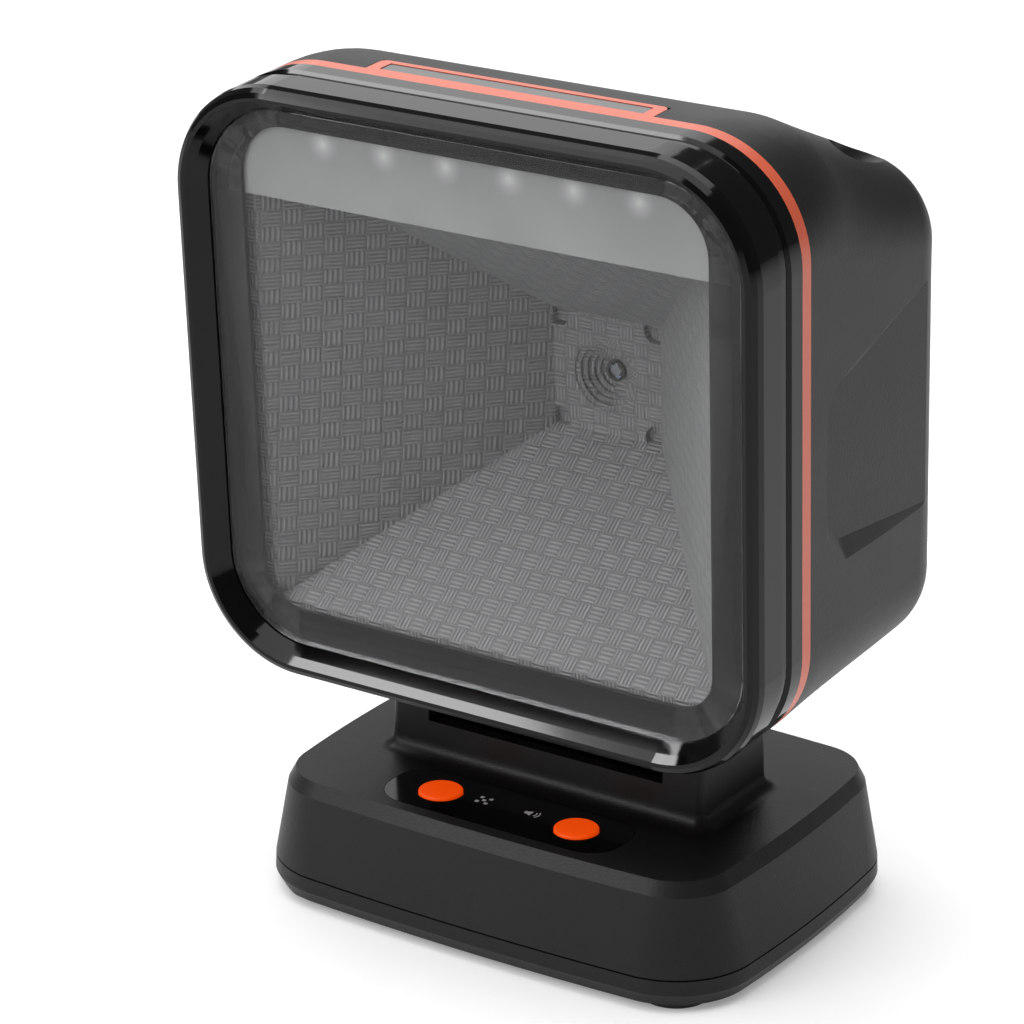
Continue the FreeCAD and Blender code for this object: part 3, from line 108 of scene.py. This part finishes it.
def add_socket(group, name, kind, direction, value=None):
    socket = group.interface.new_socket(name=name, in_out=direction, socket_type=kind)
    if value is not None:
        socket.default_value = value


def math_node(tree, operation, first, second=None, third=None):
    node = tree.nodes.new("ShaderNodeMath")
    node.operation = operation
    for index, value in enumerate((first, second, third)):
        if value is None:
            continue
        if isinstance(value, (int, float)):
            node.inputs[index].default_value = value
        else:
            tree.links.new(value, node.inputs[index])
    return node.outputs[0]


def object_place(tree):
    return tree.nodes.new("ShaderNodeTexCoord").outputs["Object"]


def noise_node(tree, coordinates, scale, detail, roughness=0.5):
    node = tree.nodes.new("ShaderNodeTexNoise")
    node.inputs["Detail"].default_value = detail
    node.inputs["Roughness"].default_value = roughness
    tree.links.new(coordinates, node.inputs["Vector"])
    if isinstance(scale, (int, float)):
        node.inputs["Scale"].default_value = scale
    else:
        tree.links.new(scale, node.inputs["Scale"])
    return node.outputs["Fac"]


def make_grain_group():
    group = bpy.data.node_groups.new("moulded grain", "ShaderNodeTree")
    add_socket(group, "Grains per metre", "NodeSocketFloat", "INPUT", USUAL_GRAINS)
    add_socket(group, "Height", "NodeSocketFloat", "OUTPUT")
    add_socket(group, "Mottle", "NodeSocketFloat", "OUTPUT")
    inside = group.nodes.new("NodeGroupInput")
    outside = group.nodes.new("NodeGroupOutput")
    place = object_place(group)
    fine = noise_node(group, place, inside.outputs[0], 2.0, 0.6)
    wide_scale = math_node(group, "MULTIPLY", inside.outputs[0], WIDE_TO_FINE)
    wide = noise_node(group, place, wide_scale, 3.0)
    wide_share = math_node(group, "MULTIPLY", wide, WIDE_PART)
    mottle = math_node(group, "MULTIPLY_ADD", fine, FINE_PART, wide_share)
    group.links.new(fine, outside.inputs["Height"])
    group.links.new(mottle, outside.inputs["Mottle"])
    return group


moulded_grain = make_grain_group()
print("group:", moulded_grain.name)

# %% [markdown]
# ## Shared effect: handling marks
# Nothing stays perfectly even once it has been touched. Wiping and handling change how sharp a
# reflection is, far more than the colour, so this group puts out a roughness. Two noises of
# different size are mixed, and the result swings a little round the value each finish asks for.

# %% Node group: handling marks
SMEARS_PER_METRE = 55.0
SPECKS_PER_METRE = 420.0
SMEAR_PART = 0.7
SPECK_PART = 0.3


def make_marks_group():
    group = bpy.data.node_groups.new("handling marks", "ShaderNodeTree")
    add_socket(group, "Roughness", "NodeSocketFloat", "INPUT", 0.4)
    add_socket(group, "Swing", "NodeSocketFloat", "INPUT", 0.06)
    add_socket(group, "Roughness out", "NodeSocketFloat", "OUTPUT")
    inside = group.nodes.new("NodeGroupInput")
    outside = group.nodes.new("NodeGroupOutput")
    place = object_place(group)
    smears = noise_node(group, place, SMEARS_PER_METRE, 4.0)
    specks = noise_node(group, place, SPECKS_PER_METRE, 2.0)
    speck_share = math_node(group, "MULTIPLY", specks, SPECK_PART)
    both = math_node(group, "MULTIPLY_ADD", smears, SMEAR_PART, speck_share)
    centred = math_node(group, "SUBTRACT", both, 0.5)
    half_swing = math_node(group, "MULTIPLY", centred, inside.outputs["Swing"])
    swing = math_node(group, "MULTIPLY", half_swing, 2.0)
    total = math_node(group, "ADD", inside.outputs["Roughness"], swing)
    group.links.new(total, outside.inputs[0])
    return group


handling_marks = make_marks_group()
print("group:", handling_marks.name)

# %% [markdown]
# ## Plastics and rubbers
# One recipe covers every moulded part: the grain group moves the colour a little and drives a
# bump, and the marks group drives the roughness. What differs from part to part is only how
# coarse and how deep the grain is. Gloss black is the same recipe with hardly any grain. The two
# orange keys also glow a little. The glow is painted light: it stands in for lamp light from the front,
# which the head's overhang keeps off them.

# %% Recipe: moulded plastic
def place_group(tree, group, **values):
    node = tree.nodes.new("ShaderNodeGroup")
    node.node_tree = group
    for name, value in values.items():
        node.inputs[name.replace("_", " ")].default_value = value
    return node


def mix_colors(tree, mask, dark, light):
    mix = tree.nodes.new("ShaderNodeMix")
    mix.data_type = "RGBA"
    tree.links.new(mask, mix.inputs[0])
    for index, value in ((6, dark), (7, light)):
        if hasattr(value, "is_linked"):
            tree.links.new(value, mix.inputs[index])
        else:
            mix.inputs[index].default_value = (*value, 1.0)
    return mix.outputs[2]


def bump_from(tree, shader, height, depth):
    bump = tree.nodes.new("ShaderNodeBump")
    bump.inputs["Distance"].default_value = depth
    bump.inputs["Strength"].default_value = 1.0
    tree.links.new(height, bump.inputs["Height"])
    tree.links.new(bump.outputs["Normal"], shader.inputs["Normal"])


def moulded(name, color, roughness, grains=USUAL_GRAINS, depth=0.02, contrast=0.12, swing=0.05,
            shine=0.25):
    """Grains are counted per metre and depth is in millimetres."""
    material, tree, shader = start_finish(name, color, roughness, shine=shine)
    grain = place_group(tree, moulded_grain, Grains_per_metre=grains)
    marks = place_group(tree, handling_marks, Roughness=roughness, Swing=swing)
    dark = shade_of(color, 1 - contrast)
    light = shade_of(color, 1 + contrast)
    mottled = mix_colors(tree, grain.outputs["Mottle"], dark, light)
    tree.links.new(mottled, shader.inputs["Base Color"])
    tree.links.new(marks.outputs[0], shader.inputs["Roughness"])
    bump_from(tree, shader, grain.outputs["Height"], depth * MM)
    return material


# Each line gives name, colour, roughness, grains, depth, contrast and swing, as far as needed.
finishes = {
    "housing_plastic": moulded("charcoal housing", grey(0.012), 0.44, 2600, 0.045, 0.30, shine=0.2),
    "bezel_gloss": moulded("piano black", grey(0.002), 0.08, 300, 0.001, 0.05, 0.03, shine=0.2),
    "panel_gloss": moulded("control panel gloss", grey(0.003), 0.12, 300, 0.001, 0.05, 0.03, shine=0.15),
    "signal_orange": moulded("orange trim", (0.60, 0.10, 0.045), 0.34, 1500, 0.006, 0.05, shine=0.5),
    "button_orange": moulded("orange key cap", (1.0, 0.10, 0.001), 0.55, 2400, 0.01, 0.04),
    "indicator_clear": moulded("smoked light bar", grey(0.14), 0.35, 900, 0.004, 0.15),
    "mask_black": moulded("black window print", grey(0.006), 0.5, 3000, 0.004, 0.10),
    "chip_black": moulded("chip resin", grey(0.018), 0.55, 5000, 0.01, 0.15),
    "connector_ivory": moulded("ivory nylon", (0.66, 0.61, 0.48), 0.45, 1800, 0.01, 0.06),
    "plunger_cream": moulded("cream nylon", (0.62, 0.57, 0.44), 0.42, 1800, 0.01, 0.06),
    "switch_black": moulded("switch body", grey(0.02), 0.4, 2600, 0.015, 0.15),
    "socket_black": moulded("socket body", grey(0.014), 0.42, 2400, 0.02, 0.18),
    "frame_plastic": moulded("glass-filled nylon", grey(0.02), 0.5, 1400, 0.05, 0.30),
    "cable_rubber": moulded("cable jacket", grey(0.016), 0.5, 1200, 0.03, 0.15),
    "foot_rubber": moulded("rubber foot", grey(0.02), 0.75, 2000, 0.05, 0.25),
    "speaker_fabric": moulded("coated paper cone", grey(0.03), 0.7, 3500, 0.06, 0.35),
    "led_body": moulded("light-emitting chip", (0.80, 0.76, 0.55), 0.3, 900, 0.004, 0.08),
}
# The keys' glow is painted light, in place of lamp light that the head's overhang keeps off them.
make_glow(finishes["button_orange"], (1.0, 0.07, 0.0), 0.55)
print("moulded finishes:", len(finishes))

# %% [markdown]
# ## Metals
# Screws, pins and brackets are turned, stamped or cast. Turned and ground metal has fine lines
# running one way. They come from a noise that is stretched by a Mapping node, which is quicker
# to steer than a wave texture and never looks too regular.

# %% Recipe: worked metal
GROOVE_SHADE = 0.82
RIDGE_SHADE = 1.12
METAL_SWING = 0.10


def worked_metal(name, color, roughness, stretch=(1.0, 1.0, 14.0), scale=900.0, depth=0.004):
    material, tree, shader = start_finish(name, color, roughness, metallic=1.0)
    mapping = tree.nodes.new("ShaderNodeMapping")
    mapping.inputs["Scale"].default_value = stretch
    tree.links.new(object_place(tree), mapping.inputs["Vector"])
    lines = noise_node(tree, mapping.outputs["Vector"], scale, 3.0, 0.6)
    marks = place_group(tree, handling_marks, Roughness=roughness, Swing=METAL_SWING)
    lined = mix_colors(tree, lines, shade_of(color, GROOVE_SHADE), shade_of(color, RIDGE_SHADE))
    tree.links.new(lined, shader.inputs["Base Color"])
    tree.links.new(marks.outputs[0], shader.inputs["Roughness"])
    bump_from(tree, shader, lines, depth * MM)
    return material


finishes["cradle_zinc"] = worked_metal("zinc-plated cradle", (0.46, 0.47, 0.49), 0.34)
finishes["pin_steel"] = worked_metal("ground steel pin", (0.55, 0.55, 0.57), 0.22, (14.0, 1.0, 1.0))
finishes["screw_steel"] = worked_metal("plated screw", (0.42, 0.42, 0.44), 0.30, (1.0, 1.0, 6.0))
finishes["washer_brass"] = worked_metal("brass washer", (0.72, 0.50, 0.20), 0.32)
finishes["contact_gold"] = worked_metal("gold flash", (0.90, 0.63, 0.22), 0.22)
finishes["barrel_metal"] = worked_metal("anodised barrel", (0.035, 0.035, 0.037), 0.38)
finishes["ballast_iron"] = worked_metal("blackened iron", grey(0.09), 0.62, (1, 1, 1), 500.0, 0.05)
finishes["label_silver"] = worked_metal("blank label film", (0.50, 0.50, 0.51), 0.42, (1, 12, 1), 700.0)
print("finishes so far:", len(finishes))

# %% [markdown]
# ## Circuit boards and flat cables
# A board is green lacquer over copper. The copper shows as slightly lighter straight tracks. A
# brick texture with thin mortar gives such straight lines, and its mortar mask also raises the
# lacquer a little over each track. The flat cables are amber film with fine parallel wires.

# %% Recipe: board and film
TRACK_TURN = (math.radians(52), 0.0, math.radians(45))
TRACK_RISE = 0.02 * MM
WIRE_RISE = 0.03 * MM
LACQUER_ROUGHNESS = 0.30


def circuit_board(name):
    material, tree, shader = start_finish(name, (0.008, 0.085, 0.035), LACQUER_ROUGHNESS, coat=0.3)
    tracks = tree.nodes.new("ShaderNodeTexBrick")
    tracks.inputs["Scale"].default_value = 260.0
    tracks.inputs["Mortar Size"].default_value = 0.05
    tracks.inputs["Brick Width"].default_value = 1.7
    tracks.offset = 0.37
    mapping = tree.nodes.new("ShaderNodeMapping")
    mapping.inputs["Rotation"].default_value = TRACK_TURN
    tree.links.new(object_place(tree), mapping.inputs["Vector"])
    tree.links.new(mapping.outputs["Vector"], tracks.inputs["Vector"])
    marks = place_group(tree, handling_marks, Roughness=LACQUER_ROUGHNESS, Swing=0.08)
    color = mix_colors(tree, tracks.outputs["Fac"], (0.006, 0.075, 0.030), (0.025, 0.16, 0.06))
    tree.links.new(color, shader.inputs["Base Color"])
    tree.links.new(marks.outputs[0], shader.inputs["Roughness"])
    bump_from(tree, shader, tracks.outputs["Fac"], TRACK_RISE)
    return material


def flat_cable(name):
    material, tree, shader = start_finish(name, (0.50, 0.22, 0.03), 0.28)
    wires = tree.nodes.new("ShaderNodeTexWave")
    wires.bands_direction = "X"
    wires.inputs["Scale"].default_value = 320.0
    wires.inputs["Distortion"].default_value = 0.2
    tree.links.new(object_place(tree), wires.inputs["Vector"])
    color = mix_colors(tree, wires.outputs["Fac"], (0.30, 0.11, 0.015), (0.62, 0.33, 0.07))
    tree.links.new(color, shader.inputs["Base Color"])
    bump_from(tree, shader, wires.outputs["Fac"], WIRE_RISE)
    return material


finishes["board_green"] = circuit_board("green circuit board")
finishes["flex_amber"] = flat_cable("amber film cable")
print("made:", finishes["board_green"].name, "and", finishes["flex_amber"].name)

# %% [markdown]
# ## The light tunnel's basket weave
# The four walls behind the window would throw stray light into the camera if they were smooth.
# They carry a basket weave: small square tiles, each with a few ribs, turned by a quarter from
# tile to tile. The ribs could be modelled, but thousands of them would be heavy, so a node group
# works out their height. Its inputs are the two directions along the wall. A wall that faces
# sideways uses depth and height, a floor or ceiling uses width and depth, and the back plate
# uses width and height. The surface normal picks which.

# %% Node group: basket weave
TILE = 2.6 * MM
RIBS = 4.0
ARCH_POWER = 4.0


def make_weave_group():
    group = bpy.data.node_groups.new("basket weave", "ShaderNodeTree")
    for name, value in (("Across", 0.0), ("Along", 0.0), ("Tile", TILE), ("Ribs", RIBS)):
        add_socket(group, name, "NodeSocketFloat", "INPUT", value)
    add_socket(group, "Height", "NodeSocketFloat", "OUTPUT")
    inside = group.nodes.new("NodeGroupInput")
    outside = group.nodes.new("NodeGroupOutput")
    across = math_node(group, "DIVIDE", inside.outputs["Across"], inside.outputs["Tile"])
    along = math_node(group, "DIVIDE", inside.outputs["Along"], inside.outputs["Tile"])
    column = math_node(group, "FLOOR", across)
    row = math_node(group, "FLOOR", along)
    checker = math_node(group, "FLOORED_MODULO", math_node(group, "ADD", column, row), 2.0)
    both = []
    for run, side in ((across, along), (along, across)):
        turns = math_node(group, "MULTIPLY", run, inside.outputs["Ribs"])
        ridge = math_node(group, "SINE", math_node(group, "MULTIPLY", turns, 2 * math.pi))
        ridge = math_node(group, "MULTIPLY_ADD", ridge, 0.5, 0.5)
        middle = math_node(group, "SUBTRACT", math_node(group, "FRACT", side), 0.5)
        edge = math_node(group, "MULTIPLY", math_node(group, "ABSOLUTE", middle), 2.0)
        fall = math_node(group, "POWER", edge, ARCH_POWER)
        arch = math_node(group, "SUBTRACT", 1.0, fall)
        both.append(math_node(group, "MULTIPLY", ridge, arch))
    first = math_node(group, "MULTIPLY", both[0], checker)
    second = math_node(group, "MULTIPLY", both[1], math_node(group, "SUBTRACT", 1.0, checker))
    group.links.new(math_node(group, "ADD", first, second), outside.inputs["Height"])
    return group


basket_weave = make_weave_group()
print("weave tile: %.1f mm, ribs in a tile: %d" % (TILE / MM, RIBS))

# %% [markdown]
# ## The tunnel's finish
# The light tunnel is dull moulded plastic, so it has a high roughness and very little shine. The
# weave drives both a bump and the colour: the colour is lighter on the tops of the ribs and darker
# in the grooves, which is painted shade in the grooves. Two masks from the normal pick the two
# directions that lie in the wall.

# %% Finish: light tunnel
WALL_FACES_SIDE = 0.5
WALL_FACES_BACK = 0.9
WEAVE_RISE = 0.22 * MM
TUNNEL_ROUGHNESS = 0.7


def tunnel_finish(name, color, painted_rib_light):
    material, tree, shader = start_finish(name, color, TUNNEL_ROUGHNESS, shine=0.1)
    coordinates = tree.nodes.new("ShaderNodeTexCoord")
    place = tree.nodes.new("ShaderNodeSeparateXYZ")
    facing = tree.nodes.new("ShaderNodeSeparateXYZ")
    tree.links.new(coordinates.outputs["Object"], place.inputs[0])
    tree.links.new(coordinates.outputs["Normal"], facing.inputs[0])
    side_part = math_node(tree, "ABSOLUTE", facing.outputs["X"])
    back_part = math_node(tree, "ABSOLUTE", facing.outputs["Y"])
    sideways = math_node(tree, "GREATER_THAN", side_part, WALL_FACES_SIDE)
    backwards = math_node(tree, "GREATER_THAN", back_part, WALL_FACES_BACK)
    across = tree.nodes.new("ShaderNodeMix")
    along = tree.nodes.new("ShaderNodeMix")
    for mix, mask, no, yes in ((across, sideways, place.outputs["X"], place.outputs["Z"]),
                               (along, backwards, place.outputs["Y"], place.outputs["Z"])):
        tree.links.new(mask, mix.inputs[0])
        tree.links.new(no, mix.inputs[2])
        tree.links.new(yes, mix.inputs[3])
    weave = place_group(tree, basket_weave, Tile=TILE, Ribs=RIBS)
    tree.links.new(across.outputs[0], weave.inputs["Across"])
    tree.links.new(along.outputs[0], weave.inputs["Along"])
    # Painted shade: the colour is darker in the grooves and lighter on the tops of the ribs.
    painted_rib_shade = mix_colors(tree, weave.outputs["Height"], color, shade_of(color, painted_rib_light))
    tree.links.new(painted_rib_shade, shader.inputs["Base Color"])
    marks = place_group(tree, handling_marks, Roughness=TUNNEL_ROUGHNESS, Swing=0.06)
    tree.links.new(marks.outputs[0], shader.inputs["Roughness"])
    bump_from(tree, shader, weave.outputs["Height"], WEAVE_RISE)
    return material


finishes["tunnel_black"] = tunnel_finish("light trap weave", grey(0.115), 1.7)
print("finish:", finishes["tunnel_black"].name, "rib height: %.2f mm" % (WEAVE_RISE / MM))

# %% [markdown]
# ## The frosted light strip
# Behind the top of the window runs a frosted strip, with a row of lights behind it. Each light
# shows as a faint bright spot, painted into the strip's colour as painted light: the strip itself
# lets no light through. The spots are worked out from the distance to the nearest light along the
# strip: a triangle wave over the spacing of the lights, squared up into a soft blob. The lights sit
# behind the strip. Seen from the right and from above, they would shine through it a little further
# right and a little higher, so the row of painted spots is shifted by that much.

# %% Finish: frosted strip
LED_WIDTH = 3.5 * MM
LED_COUNT = 6
SPOT_SHIFT = 1.7 * MM
SPOT_RISE = 0.6 * MM
SPOT_RADIUS = 3.4 * MM

strip_low, strip_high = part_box("diffuser_panel")
led_low, led_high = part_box("illumination_leds")
led_pitch = (led_high[0] - led_low[0] - LED_WIDTH) / (LED_COUNT - 1)
led_height = (led_low[2] + led_high[2]) / 2
print("strip width: %.1f mm" % ((strip_high[0] - strip_low[0]) / MM))
print("light spacing: %.1f mm" % (led_pitch / MM))


def frosted_strip():
    material, tree, shader = start_finish("frosted light strip", grey(0.22), 0.42)
    here = object_place(tree)
    place = tree.nodes.new("ShaderNodeSeparateXYZ")
    tree.links.new(here, place.inputs[0])
    shifted = math_node(tree, "SUBTRACT", place.outputs["X"], SPOT_SHIFT)
    step = math_node(tree, "DIVIDE", shifted, led_pitch)
    middle = math_node(tree, "SUBTRACT", math_node(tree, "FRACT", step), 0.5)
    beside = math_node(tree, "MULTIPLY", math_node(tree, "ABSOLUTE", middle), led_pitch)
    above = math_node(tree, "SUBTRACT", place.outputs["Z"], led_height + SPOT_RISE)
    beside_squared = math_node(tree, "POWER", beside, 2.0)
    above_squared = math_node(tree, "POWER", above, 2.0)
    squares = math_node(tree, "ADD", beside_squared, above_squared)
    far = math_node(tree, "DIVIDE", math_node(tree, "SQRT", squares), SPOT_RADIUS)
    blob = math_node(tree, "SUBTRACT", 1.0, math_node(tree, "MINIMUM", far, 1.0))
    soft_blob = math_node(tree, "MULTIPLY", blob, blob)
    half_row = LED_COUNT / 2 * led_pitch
    in_row = math_node(tree, "LESS_THAN", math_node(tree, "ABSOLUTE", shifted), half_row)
    painted_light_spots = math_node(tree, "MULTIPLY", soft_blob, in_row)
    haze = noise_node(tree, here, 90.0, 3.0)
    shade = mix_colors(tree, haze, grey(0.14), grey(0.19))
    # The spots are painted light: a lighter grey put into the strip's colour where the lights behind
    # would show through.
    tree.links.new(mix_colors(tree, painted_light_spots, shade, grey(0.40)), shader.inputs["Base Color"])
    fine = noise_node(tree, here, 3000.0, 2.0)
    bump_from(tree, shader, fine, 0.01 * MM)
    return material


finishes["diffuser_white"] = frosted_strip()
print("finish:", finishes["diffuser_white"].name, "spots:", LED_COUNT)

# %% [markdown]
# ## Glass
# The window and the camera's lens are clear. A transmitting Principled shader bends light, but
# it also blocks the lamps' shadow rays, so all behind it would go dark. The usual cure is to mix
# in a Transparent shader for shadow rays only: the Light Path node tells which rays those are.
# The window's coating makes it reflect less than bare glass does, so its index is set lower.

# %% Finish: glass
GLASS_SPECKS_PER_METRE = 260.0
DUST_SWING = 0.02


def clear_glass(name, color, roughness, ior):
    material, tree, shader = start_finish(name, color, roughness)
    shader.inputs["Transmission Weight"].default_value = 1.0
    shader.inputs["IOR"].default_value = ior
    specks = noise_node(tree, object_place(tree), GLASS_SPECKS_PER_METRE, 6.0, 0.7)
    dust = math_node(tree, "MULTIPLY", math_node(tree, "SUBTRACT", specks, 0.5), DUST_SWING)
    tree.links.new(math_node(tree, "ADD", dust, roughness), shader.inputs["Roughness"])
    see_through = tree.nodes.new("ShaderNodeBsdfTransparent")
    mixer = tree.nodes.new("ShaderNodeMixShader")
    output = tree.nodes["Material Output"]
    light_path = tree.nodes.new("ShaderNodeLightPath")
    tree.links.new(light_path.outputs["Is Shadow Ray"], mixer.inputs[0])
    tree.links.new(shader.outputs[0], mixer.inputs[1])
    tree.links.new(see_through.outputs[0], mixer.inputs[2])
    tree.links.new(mixer.outputs[0], output.inputs["Surface"])
    return material


finishes["window_glass"] = clear_glass("coated window glass", (0.97, 0.98, 0.98), 0.012, 1.25)
finishes["lens_glass"] = clear_glass("coated lens", (0.55, 0.62, 0.85), 0.01, 1.6)
print("finishes:", len(finishes))

# %% [markdown]
# ## Dress the parts
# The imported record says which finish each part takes, so one loop dresses the whole scanner.
# A part that is added or renamed later is dressed too, as long as the record names its finish.

# %% Give every part its finish
for entry in frame["record"]["subparts"]:
    part = parts[entry["node"]]
    part.data.materials.clear()
    part.data.materials.append(finishes[entry["material_slot"]])

# %% [markdown]
# ## Printed marks on the control panel
# Each button has a small pale pictogram beside it: a pattern of square cells for the code mode,
# and a loudspeaker for the volume. Print has almost no thickness, so each mark is a thin plate
# that lies on the panel. A square is a cube that is scaled flat, and an arc is an edge that is
# spun round a point. Both ride on the base, like the panel under them.

# %% Helpers: thin printed shapes
PRINT_T = 0.02 * MM
RING_STEPS = 10
panel_low, panel_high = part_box("control_panel")
panel_top = panel_high[2]
panel_y = (panel_low[1] + panel_high[1]) / 2


def add_plate(bm, x, y, width, depth):
    made = bmesh.ops.create_cube(bm, size=1.0)
    bmesh.ops.scale(bm, vec=(width, depth, PRINT_T), verts=made["verts"])
    bmesh.ops.translate(bm, vec=(x, y, panel_top + PRINT_T * 0.6), verts=made["verts"])


def add_flat_ring(bm, x, y, inner, outer, start, sweep):
    """Part of a flat ring, turned about the upright axis through x, y."""
    ends = []
    for radius in (inner, outer):
        place = (x + radius * math.cos(start), y + radius * math.sin(start), panel_top + PRINT_T)
        ends.append(bm.verts.new(place))
    edge = bm.edges.new(ends)
    bmesh.ops.spin(bm, geom=[*ends, edge], cent=(x, y, panel_top), axis=(0, 0, 1),
                   angle=sweep, steps=RING_STEPS)


def add_object(name, data):
    made = bpy.data.objects.new(name, data)
    bpy.context.scene.collection.objects.link(made)
    return made


def finish_piece(bm, name, material, body):
    bmesh.ops.remove_doubles(bm, verts=bm.verts, dist=1e-7)
    bmesh.ops.recalc_face_normals(bm, faces=bm.faces)
    mesh = bpy.data.meshes.new(name)
    bm.to_mesh(mesh)
    bm.free()
    piece = add_object(name, mesh)
    mesh.materials.append(material)
    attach(piece, body)
    print("piece:", name, "faces:", len(mesh.polygons))


print("panel top: %.2f mm" % (panel_top / MM))

# %% [markdown]
# ## The code pictogram
# The cells beside the code button stand on a grid of three by three. Only every other one is
# printed, five in all, so that the mark stays a plain pattern and no real code.

# %% Piece: code pictogram
ICON_Y = panel_y + 0.9 * MM
CODE_X = -5.2 * MM
CELL = 0.62 * MM
CELL_PITCH = 0.85 * MM

print_grey = moulded("panel print", grey(0.85), 0.5, 4000, 0.002, 0.12)
icon = bmesh.new()
for column in (-1, 0, 1):
    for row in (-1, 0, 1):
        if (column + row) % 2 == 0:
            add_plate(icon, CODE_X + column * CELL_PITCH, ICON_Y + row * CELL_PITCH, CELL, CELL)
finish_piece(icon, "mode_pictogram", print_grey, "base")

# %% [markdown]
# ## The loudspeaker pictogram
# The loudspeaker beside the volume button is a small square for the coil, a triangle for the
# cone and two arcs for the sound. The triangle is a three-sided disc, turned so that its tip
# hides in the square behind it.

# %% Piece: loudspeaker pictogram
SPEAKER_X = 4.0 * MM
COIL_X = SPEAKER_X - 1.0 * MM
CONE_X = SPEAKER_X - 0.5 * MM
ARC_X = SPEAKER_X - 0.2 * MM
COIL_WIDTH = 0.6 * MM
COIL_DEPTH = 0.8 * MM
CONE_RADIUS = 0.95 * MM
QUARTER_TURN = Matrix.Rotation(math.radians(90), 3, "Z")
ARC_START = math.radians(-38)
ARC_SWEEP = math.radians(76)
ARC_WIDTH = 0.22 * MM
ARC_RADII = (0.9 * MM, 1.45 * MM)

icon = bmesh.new()
add_plate(icon, COIL_X, ICON_Y, COIL_WIDTH, COIL_DEPTH)
cone = bmesh.ops.create_circle(icon, cap_ends=True, radius=CONE_RADIUS, segments=3)["verts"]
bmesh.ops.rotate(icon, verts=cone, matrix=QUARTER_TURN, cent=(0, 0, 0))
bmesh.ops.translate(icon, verts=cone, vec=(CONE_X, ICON_Y, panel_top + PRINT_T))
for radius in ARC_RADII:
    add_flat_ring(icon, ARC_X, ICON_Y, radius, radius + ARC_WIDTH, ARC_START, ARC_SWEEP)
finish_piece(icon, "volume_pictogram", print_grey, "base")

# %% [markdown]
# ## Floor
# The floor is a wide sheet of pale paper, as in a product studio. It could be a curved backdrop,
# but the camera looks down so steeply that a flat sheet fills the picture. It glows faintly, like
# paper on a light table, which keeps the shadow under the base soft.

# %% Floor
FLOOR_HALF_WIDTH = 3.0
FLOOR_GLOW = 0.25

floor_mesh = bmesh.new()
bmesh.ops.create_grid(floor_mesh, x_segments=1, y_segments=1, size=FLOOR_HALF_WIDTH)
floor_data = bpy.data.meshes.new("studio floor")
floor_mesh.to_mesh(floor_data)
floor_mesh.free()
floor = add_object("studio_floor", floor_data)
paper = moulded("studio paper", grey(0.88), 0.9, 60, 0.02, 0.01, 0.02)
make_glow(paper, grey(1.0), FLOOR_GLOW)
floor_data.materials.append(paper)
print("floor:", 2 * FLOOR_HALF_WIDTH, "m wide")

# %% [markdown]
# ## Lights
# The lamps are soft boxes. A large one overhead lights the floor evenly, and a weak one in front
# reaches into the window. Three more are hidden from matt surfaces: two draw bright bands along
# the gloss lip and the chamfer, the third the soft sheen on top. The world adds little fill, so
# that black plastic stays black.

# %% Lights
WORLD_FILL = 0.16


def soft_box(name, place, aim, width, height, watts):
    light = bpy.data.lights.new(name, "AREA")
    light.shape = "RECTANGLE"
    light.size = width
    light.size_y = height
    light.energy = watts
    lamp = add_object(name, light)
    lamp.location = place
    lamp.rotation_euler = (Vector(aim) - Vector(place)).to_track_quat("-Z", "Y").to_euler()
    print("light:", name, watts, "W")
    return lamp


soft_box("overhead box", (-0.1, 0.1, 1.3), (0.0, 0.0, 0.0), 1.6, 1.6, 24.0)
soft_box("front box", (-0.45, -1.00, 0.85), (0.0, 0.0, 0.06), 0.7, 0.7, 5.0)
gloss_box = soft_box("gloss box", (-0.70, -0.40, 1.05), (0.0, 0.0, 0.06), 0.9, 0.34, 19.0)
sheen_box = soft_box("sheen box", (-0.62, 0.98, 0.58), (0.0, 0.0, 0.10), 1.0, 0.6, 2.8)
low_box = soft_box("low box", (-0.62, -1.05, 0.50), (0.0, 0.0, 0.03), 0.5, 0.25, 4.5)
for lamp in (gloss_box, sheen_box, low_box):
    lamp.visible_diffuse = False

world = bpy.data.worlds.new("studio fill")
bpy.context.scene.world = world
world.use_nodes = True
background = world.node_tree.nodes["Background"]
background.inputs["Color"].default_value = (*grey(1.0), 1.0)
background.inputs["Strength"].default_value = WORLD_FILL

# %% [markdown]
# ## Camera
# A long lens from above and from the right flattens the perspective, as a catalogue picture
# does. The camera is turned by two plain angles, so it stays level.

# %% Camera
CAMERA_PLACE = (0.31375, -0.49850, 0.29300)
CAMERA_TURN = 33.23
CAMERA_TILT = 21.08
FILM_WIDTH = 36.0
FOCAL_LENGTH = 137.8

lens = bpy.data.cameras.new("catalogue lens")
lens.sensor_width = FILM_WIDTH
lens.lens = FOCAL_LENGTH
camera = add_object("catalogue camera", lens)
camera.location = CAMERA_PLACE
camera.rotation_euler = (math.radians(90 - CAMERA_TILT), 0.0, math.radians(CAMERA_TURN))
bpy.context.scene.camera = camera
bpy.context.scene.view_settings.view_transform = "Standard"
print("camera distance: %.3f m" % Vector(CAMERA_PLACE).length)
